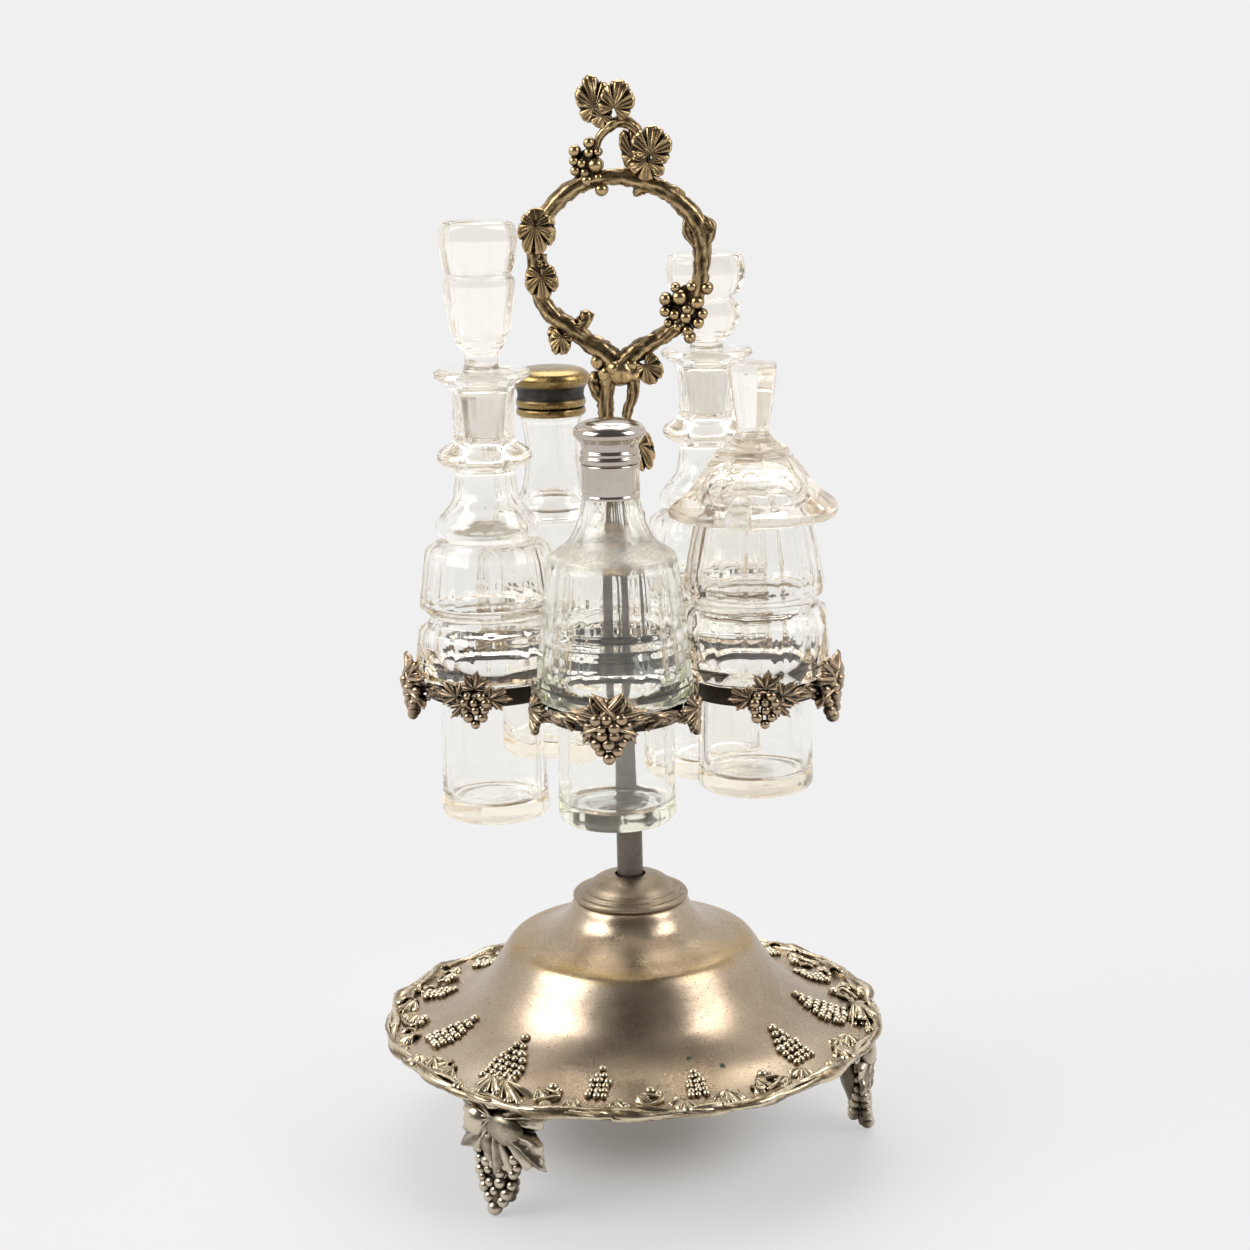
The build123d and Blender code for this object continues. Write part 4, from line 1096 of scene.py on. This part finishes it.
PLUG = [(0, 279.9), (5.6, 279.7), (6.25, 280.2), (9.7, 299.6), (9.9, 301.0), (9.3, 302.6), (7.2, 304.4),
        (6.3, 307.0), (6.3, 310.6)]
TALL = PLUG + [(7.6, 312.6), (9.0, 314.4), (9.1, 316.0, 0.2), (9.4, 317.0, 0.6), (10.9, 319.0, 1),
    (12.0, 327.0, 1), (13.2, 335.6, 1), (13.0, 337.8, 1), (12.2, 339.0, 0.8), (11.9, 340.0, 0.7),
    (12.6, 341.4, 0.9), (13.4, 345.0, 1), (14.4, 351.0, 1), (14.4, 353.2, 1), (13.9, 356.4, 0.9),
    (12.2, 358.5, 0.4), (8.0, 359.2), (0, 359.4)]
FLAT = PLUG[:-1] + [(7.0, 308.6), (9.8, 310.2), (10.8, 312.2, 0.4), (12.4, 314.6, 0.9), (13.1, 317.6, 1),
    (12.8, 321.4, 1), (11.0, 323.8, 0.9), (9.8, 324.8, 0.8), (11.4, 325.9, 0.9), (13.4, 327.6, 1),
    (15.0, 331.6, 1), (15.3, 334.6, 1), (14.9, 338.6, 1), (13.4, 341.2, 0.7), (9.0, 341.9, 0.2), (0, 342.0)]


def stopper_dust(r, z):
    if z < 303.0:
        return 0.42
    return 0.10 + 0.35 * max(0.0, 1.0 - abs(z - 339.8) / 2.6)


for name, rows, ring, turn in (("left", TALL, "left", 10.0), ("back", FLAT, "back_right", 0.0)):
    body = f"stopper_{name}"
    angles, falls = facet_angles(8, turn)
    x, y = spot(RING_ANGLES[ring], RING_PITCH)
    cut = lathe(profile_rows(rows, OUTSIDE_STEPS), angles, falls, (x, y), stopper_dust)
    make_piece(f"stopper_{name}_glass", cut, FROSTED, body, [body], crease=GLASS_CREASE)

SHAKER_OUT = [(0, 146.2), (14.0, 145.9), (18.6, 145.0), (20.6, 145.8), (21.4, 148.4), (21.3, 156.0),
    (21.2, 180.0), (21.2, 187.4), (21.8, 189.6, 0.2), (21.8, 189.6, 0.2), (24.8, 190.2, 0.5),
    (27.4, 190.8, 0.9), (28.6, 192.4, 1), (28.5, 195.4, 1), (27.8, 202.0, 1), (27.2, 209.4, 1),
    (26.6, 211.6, 0.9), (26.3, 212.9, 0.7), (26.6, 214.4, 0.7), (26.7, 216.0, 0.9), (26.1, 218.6, 1),
    (25.0, 228.0, 1), (24.1, 236.6, 1), (23.5, 239.4, 0.8), (23.1, 241.6, 0.3), (22.4, 243.2),
    (20.2, 244.8), (17.5, 246.6, 0.1), (15.2, 249.0, 0.3), (13.3, 252.2, 0.6), (11.7, 257.0, 0.9),
    (10.7, 261.4, 0.9), (10.1, 263.6, 0.6), (9.75, 265.0), (9.6, 277.6), (9.0, 278.0), (8.0, 278.0)]
SHAKER_IN = [(7.2, 277.6), (7.0, 268.0), (7.8, 260.0), (10.4, 252.8), (14.4, 246.2), (19.6, 240.8),
    (21.2, 234.0), (22.8, 220.0), (23.4, 209.0), (24.0, 203.0), (22.8, 197.4), (20.4, 192.6), (18.6, 188.0),
    (18.4, 175.0), (18.6, 154.0), (17.0, 151.2), (9.0, 152.2), (0, 152.6)]
front_dust = dust_band(((244.8, 5.5, 0.95), (251.0, 6.0, 0.25), (147.0, 3.0, 0.2)))
glass_piece("shaker_front_glass", SHAKER_OUT, SHAKER_IN, 16, 4.0, "front", "shaker_front", GREEN_GLASS,
            front_dust)

BACK_OUT = SHAKER_OUT[:25] + [(22.4, 243.0), (19.0, 244.8), (15.2, 246.8, 0.2), (13.0, 249.4, 0.5),
    (11.9, 252.6, 0.7), (10.9, 257.6, 0.9), (10.3, 264.0, 1), (10.7, 271.0, 0.9), (11.7, 277.0, 0.6),
    (12.1, 279.0, 0.2), (11.5, 279.8), (11.4, 282.0), (11.2, 290.4), (10.6, 291.0), (9.4, 291.0)]
BACK_IN = [(8.7, 290.6), (7.9, 276.0), (7.1, 266.0), (7.5, 258.6), (8.8, 249.6),
           (12.2, 243.6)] + SHAKER_IN[5:]
back_dust = dust_band(((244.0, 4.0, 0.4), (147.0, 3.0, 0.2)))
glass_piece("shaker_back_glass", BACK_OUT, BACK_IN, 16, 9.0, "back_left", "shaker_back", GLASS, back_dust)

JAR_OUT = [(0, 148.4), (14.0, 148.0), (19.2, 147.0), (21.1, 147.7), (21.8, 150.0), (21.5, 158.0),
           (21.3, 180.0), (21.3, 187.4), (21.9, 189.6, 0.2), (21.9, 189.6, 0.2), (24.8, 190.3, 0.5),
           (27.4, 191.0, 0.9), (28.5, 192.8, 1), (28.6, 196.6, 1), (28.1, 203.0, 1), (27.6, 212.0, 1),
           (27.2, 214.8, 1), (26.0, 216.3, 0.8), (24.4, 217.2, 0.4), (23.6, 218.8, 0.2), (24.1, 220.6, 0.4),
           (25.8, 221.8, 0.9), (26.5, 223.6, 1), (26.3, 226.2, 1), (24.7, 235.4, 1), (22.6, 245.6, 1),
           (22.0, 247.8, 0.9), (21.2, 249.4, 0.5), (20.4, 250.1)]
JAR_IN = [(19.4, 250.1), (18.9, 249.4), (20.4, 240.0), (22.8, 227.0), (21.0, 221.4), (21.0, 216.8),
          (23.8, 210.0), (24.0, 203.0), (22.8, 197.4), (20.4, 192.6), (18.7, 188.0), (18.6, 175.0),
          (18.8, 156.0), (17.2, 153.4), (9.0, 154.0), (0, 154.4)]
jar_dust = dust_band(((218.8, 4.0, 0.2), (148.5, 4.0, 0.4)))
glass_piece("mustard_jar_glass", JAR_OUT, JAR_IN, 14, 10.0, "right", "mustard_jar", GLASS, jar_dust)

LID_OUT = [(18.2, 247.4), (18.3, 250.3), (18.3, 250.3), (29.8, 250.4), (31.3, 250.9, 0.2),
           (31.8, 252.4, 0.3), (31.4, 254.4, 0.4), (29.6, 256.2, 0.6), (26.4, 258.2, 0.8),
           (23.6, 260.8, 0.9), (21.4, 263.6, 1), (19.5, 266.4, 1), (17.0, 269.6, 1), (14.6, 272.8, 0.9),
           (14.2, 273.6, 0.4), (14.2, 273.6, 0.4), (12.8, 275.4, 0.2), (10.4, 276.8), (7.6, 278.8, 0.2),
           (6.2, 281.2, 0.4), (6.0, 283.0, 0.6), (6.7, 285.2, 0.9), (7.6, 290.0, 1), (9.4, 302.6, 1),
           (9.5, 304.6, 1), (8.7, 306.3, 0.7), (6.0, 306.8, 0.2), (0, 306.9)]
LID_IN = [(16.5, 247.3), (16.3, 252.0), (15.0, 258.0), (11.4, 263.0), (6.0, 265.8), (0, 266.3)]


def lid_dust(r, z):
    return min(1.0, 0.10 + 0.42 * max(0.0, 1.0 - abs(z - 252.0) / 4.0) + 0.5
               * max(0.0, 1.0 - abs(z - 274.0) / 3.0))


NOTCH_ANGLE = -10.0
NOTCH_PLACE = 28.0
NOTCH_WIDTH = 7.6
NOTCH_HEIGHT = 11.0
NOTCH_DEPTH = 16.0
LID_FOOT_Z = 250.0
lid_rows = profile_rows(LID_OUT[::-1], OUTSIDE_STEPS) + profile_rows(LID_IN, INSIDE_STEPS)
angles, falls = facet_angles(8, 14.0)
lid_x, lid_y = spot(RING_ANGLES["right"], RING_PITCH)
lid = make_piece("mustard_lid_glass", lathe(lid_rows, angles, falls, (lid_x, lid_y), lid_dust), GLASS,
    "mustard_lid", ["mustard_lid"], crease=GLASS_CREASE)


def arch_cutter(width, height, depth, x, y, z, degrees):
    """Block with a round top, used to cut the spoon notch."""
    outline = [(-width / 2, -4.0), (width / 2, -4.0)]
    straight = height - width / 2
    for k in range(17):
        a = math.pi * k / 16
        outline.append((width / 2 * math.cos(a), straight + width / 2 * math.sin(a)))
    shape = Shape()
    n = len(outline)
    points = [(u, v_side, z + w) for v_side in (-depth / 2, depth / 2) for u, w in outline]
    faces = [tuple(range(n)), tuple(reversed(range(n, 2 * n)))]
    faces += [(i, (i + 1) % n, n + (i + 1) % n, n + i) for i in range(n)]
    place = turned_about_z(degrees, (x, y, 0.0))
    shape.add([place(p) for p in points], faces, 0.9)
    mesh = bpy.data.meshes.new("notch_cutter")
    mesh.from_pydata([(a * MM, b * MM, c * MM) for a, b, c in shape.points], [], shape.faces)
    cutter = bpy.data.objects.new("notch_cutter", mesh)
    bpy.context.scene.collection.objects.link(cutter)
    return cutter


def cut_notch(piece, cutter):
    change = piece.modifiers.new("notch", "BOOLEAN")
    change.operation = "DIFFERENCE"
    change.solver = "EXACT"
    change.object = cutter
    view = bpy.context.evaluated_depsgraph_get()
    cut = bpy.data.meshes.new_from_object(piece.evaluated_get(view))
    piece.modifiers.clear()
    piece.data = cut
    bpy.data.objects.remove(cutter)


notch_x, notch_y = spot(NOTCH_ANGLE, NOTCH_PLACE)
cutter = arch_cutter(NOTCH_WIDTH, NOTCH_HEIGHT, NOTCH_DEPTH, lid_x + notch_x, lid_y + notch_y, LID_FOOT_Z,
    NOTCH_ANGLE)
cut_notch(lid, cutter)

# ---------------------------------------------------------------- metal caps
for name, profile, ring, body, material, hides in (("collar_front",
        [(9.98, 263.8), (10.3, 263.7), (10.5, 264.4), (10.2, 265.3), (10.45, 266.2), (10.4, 270.0),
         (10.4, 274.6), (10.55, 275.3), (10.3, 275.8), (9.98, 275.7), (9.98, 263.8)], "front",
        "shaker_front", SILVER, ["shaker_front_collar"]), ("cap_front",
        [(9.9, 276.2), (10.5, 276.2), (10.95, 277.0), (10.9, 278.2), (10.4, 279.0), (10.7, 279.9),
         (10.1, 281.0), (10.6, 283.2), (11.8, 284.8), (12.8, 285.9), (12.95, 287.2), (12.3, 288.6),
         (10.4, 290.1), (7.4, 291.2), (3.8, 291.7), (0.0, 291.8), (0.0, 291.8), (0.0, 290.9), (5.0, 290.6),
         (9.6, 289.4), (11.3, 287.4), (10.6, 285.6), (9.9, 283.8), (9.9, 276.2)], "front", "cap_front",
        SILVER, ["shaker_front_cap"]), ("collar_back", [(11.68, 280.0), (12.9, 279.9), (13.6, 280.6),
        (13.6, 281.8), (13.2, 282.8), (11.7, 282.9), (11.68, 280.0)], "back_left", "shaker_back", BRASS,
        ["shaker_back_collar"]), ("cap_back", [(11.75, 283.3), (13.0, 283.2), (13.7, 284.2), (13.6, 285.8),
        (13.2, 286.6), (13.0, 288.0), (13.6, 290.6), (14.8, 292.0), (15.6, 293.4), (15.5, 295.0),
        (14.4, 296.6), (11.6, 298.0), (6.6, 298.7), (0.0, 298.8), (0.0, 298.8), (0.0, 297.9), (6.0, 297.6),
        (12.2, 296.4), (14.2, 294.4), (13.2, 292.4), (11.75, 291.0), (11.75, 283.3)], "back_left",
        "cap_back", BRASS, ["shaker_back_cap"])):
    x, y = spot(RING_ANGLES[ring], RING_PITCH)
    rows = profile_rows(profile, OUTSIDE_STEPS)
    make_piece(f"{name}_metal", lathe(rows, ANGLES_96, NO_FALL_96, (x, y)), material, body,
               hides, crease=50)

# ---------------------------------------------------------------- stage, light and camera
def stage_floor():
    m = Nodes("pale_floor")
    split = m.new("ShaderNodeVectorMath", operation="LENGTH")
    m.link(m.coords(), split.inputs[0])
    # The floor glows more the farther it is from the middle of the set: painted light that lifts the shadow
    # around the set, leaving mostly real shade close under it.
    far = m.ramp(m.times(split.outputs["Value"], 0.5), [(0.006, 0.08), (0.036, 0.53), (0.06, 0.58),
        (0.12, 0.85), (0.26, 1.0)], "EASE")
    base = m.shader((0.74, 0.74, 0.74), 0.45, 0.0)
    glow = m.new("ShaderNodeEmission")
    glow.inputs["Color"].default_value = (0.87, 0.87, 0.87, 1.0)
    both = m.new("ShaderNodeMixShader")
    m.link(far, both.inputs[0])
    m.link(base.outputs[0], both.inputs[1])
    m.link(glow.outputs[0], both.inputs[2])
    m.link(both.outputs[0], m.out.inputs["Surface"])
    mesh = bpy.data.meshes.new("floor")
    rim = [(30.0 * math.cos(TAU * i / 96), 30.0 * math.sin(TAU * i / 96), 0.0) for i in range(96)]
    mesh.from_pydata(rim, [], [tuple(range(96))])
    mesh.materials.append(m.material)
    floor = bpy.data.objects.new("floor", mesh)
    bpy.context.scene.collection.objects.link(floor)


stage_floor()

world = bpy.data.worlds.new("studio")
bpy.context.scene.world = world
world.use_nodes = True
tree = world.node_tree
tree.nodes.clear()
out = tree.nodes.new("ShaderNodeOutputWorld")
sky = tree.nodes.new("ShaderNodeBackground")
plain = tree.nodes.new("ShaderNodeBackground")
choose = tree.nodes.new("ShaderNodeMixShader")
path = tree.nodes.new("ShaderNodeLightPath")
coords = tree.nodes.new("ShaderNodeTexCoord")
toward_room = tree.nodes.new("ShaderNodeVectorMath")
toward_room.operation = "DOT_PRODUCT"
toward_room.inputs[1].default_value = (0.08, -0.88, 0.47)
ramp = tree.nodes.new("ShaderNodeValToRGB")
tree.links.new(coords.outputs["Generated"], toward_room.inputs[0])
tree.links.new(toward_room.outputs["Value"], ramp.inputs["Fac"])
ramp.color_ramp.interpolation = "EASE"
ramp.color_ramp.elements[0].position = 0.02
ramp.color_ramp.elements[0].color = (0.86, 0.86, 0.86, 1.0)
ramp.color_ramp.elements[1].position = 0.62
ramp.color_ramp.elements[1].color = (0.11, 0.105, 0.10, 1.0)
soft_ramp = tree.nodes.new("ShaderNodeValToRGB")
soft_ramp.color_ramp.elements[0].position = 0.20
soft_ramp.color_ramp.elements[0].color = (1.0, 1.0, 0.99, 1.0)
soft_ramp.color_ramp.elements[1].position = 0.90
soft_ramp.color_ramp.elements[1].color = (0.80, 0.79, 0.76, 1.0)
tree.links.new(toward_room.outputs["Value"], soft_ramp.inputs["Fac"])
through_glass = tree.nodes.new("ShaderNodeMix")
through_glass.data_type = "RGBA"
tree.links.new(path.outputs["Is Transmission Ray"], through_glass.inputs[0])
tree.links.new(ramp.outputs["Color"], through_glass.inputs[6])
tree.links.new(soft_ramp.outputs["Color"], through_glass.inputs[7])
tree.links.new(through_glass.outputs[2], sky.inputs["Color"])
plain.inputs["Color"].default_value = (0.88, 0.88, 0.88, 1.0)
tree.links.new(path.outputs["Is Camera Ray"], choose.inputs[0])
tree.links.new(sky.outputs[0], choose.inputs[1])
tree.links.new(plain.outputs[0], choose.inputs[2])
tree.links.new(choose.outputs[0], out.inputs["Surface"])


def softbox(name, place, target, size, power, tall=None):
    light = bpy.data.lights.new(name, "AREA")
    light.shape = "RECTANGLE"
    light.size = size
    light.size_y = tall or size
    light.energy = power
    lamp = bpy.data.objects.new(name, light)
    lamp.location = place
    lamp.rotation_euler = (Vector(target) - Vector(place)).to_track_quat("-Z", "Y").to_euler()
    bpy.context.scene.collection.objects.link(lamp)


softbox("key_left", (-1.22, -0.52, 1.14), (0, 0, 0.10), 1.15, 16.0, 0.85)
softbox("key_right", (1.20, -0.34, 1.08), (0, 0, 0.10), 0.7, 7.8, 0.8)
softbox("overhead", (0.0, 0.75, 1.7), (0, 0, 0.1), 1.2, 14.0)

AZIMUTH = math.radians(4.5)
DISTANCE = 0.908
camera_data = bpy.data.cameras.new("camera")
camera_data.sensor_width = 36.0
camera_data.lens = 70.56
camera_data.clip_start = 0.05
camera_data.clip_end = 100.0
camera = bpy.data.objects.new("camera", camera_data)
turn = Matrix.Rotation(AZIMUTH, 4, "Z") @ Matrix.Rotation(math.radians(90.0 - 13.09), 4, "X")
turn = turn @ Matrix.Rotation(math.radians(-1.2), 4, "Z")
camera.matrix_world = Matrix.Translation((DISTANCE * math.sin(AZIMUTH), -DISTANCE * math.cos(AZIMUTH),
    0.416)) @ turn
bpy.context.scene.collection.objects.link(camera)
bpy.context.scene.camera = camera

scene = bpy.context.scene
scene.view_settings.view_transform = "Standard"
scene.cycles.max_bounces = 40
scene.cycles.transmission_bounces = 36
scene.cycles.transparent_max_bounces = 16
scene.cycles.glossy_bounces = 28
scene.cycles.diffuse_bounces = 3
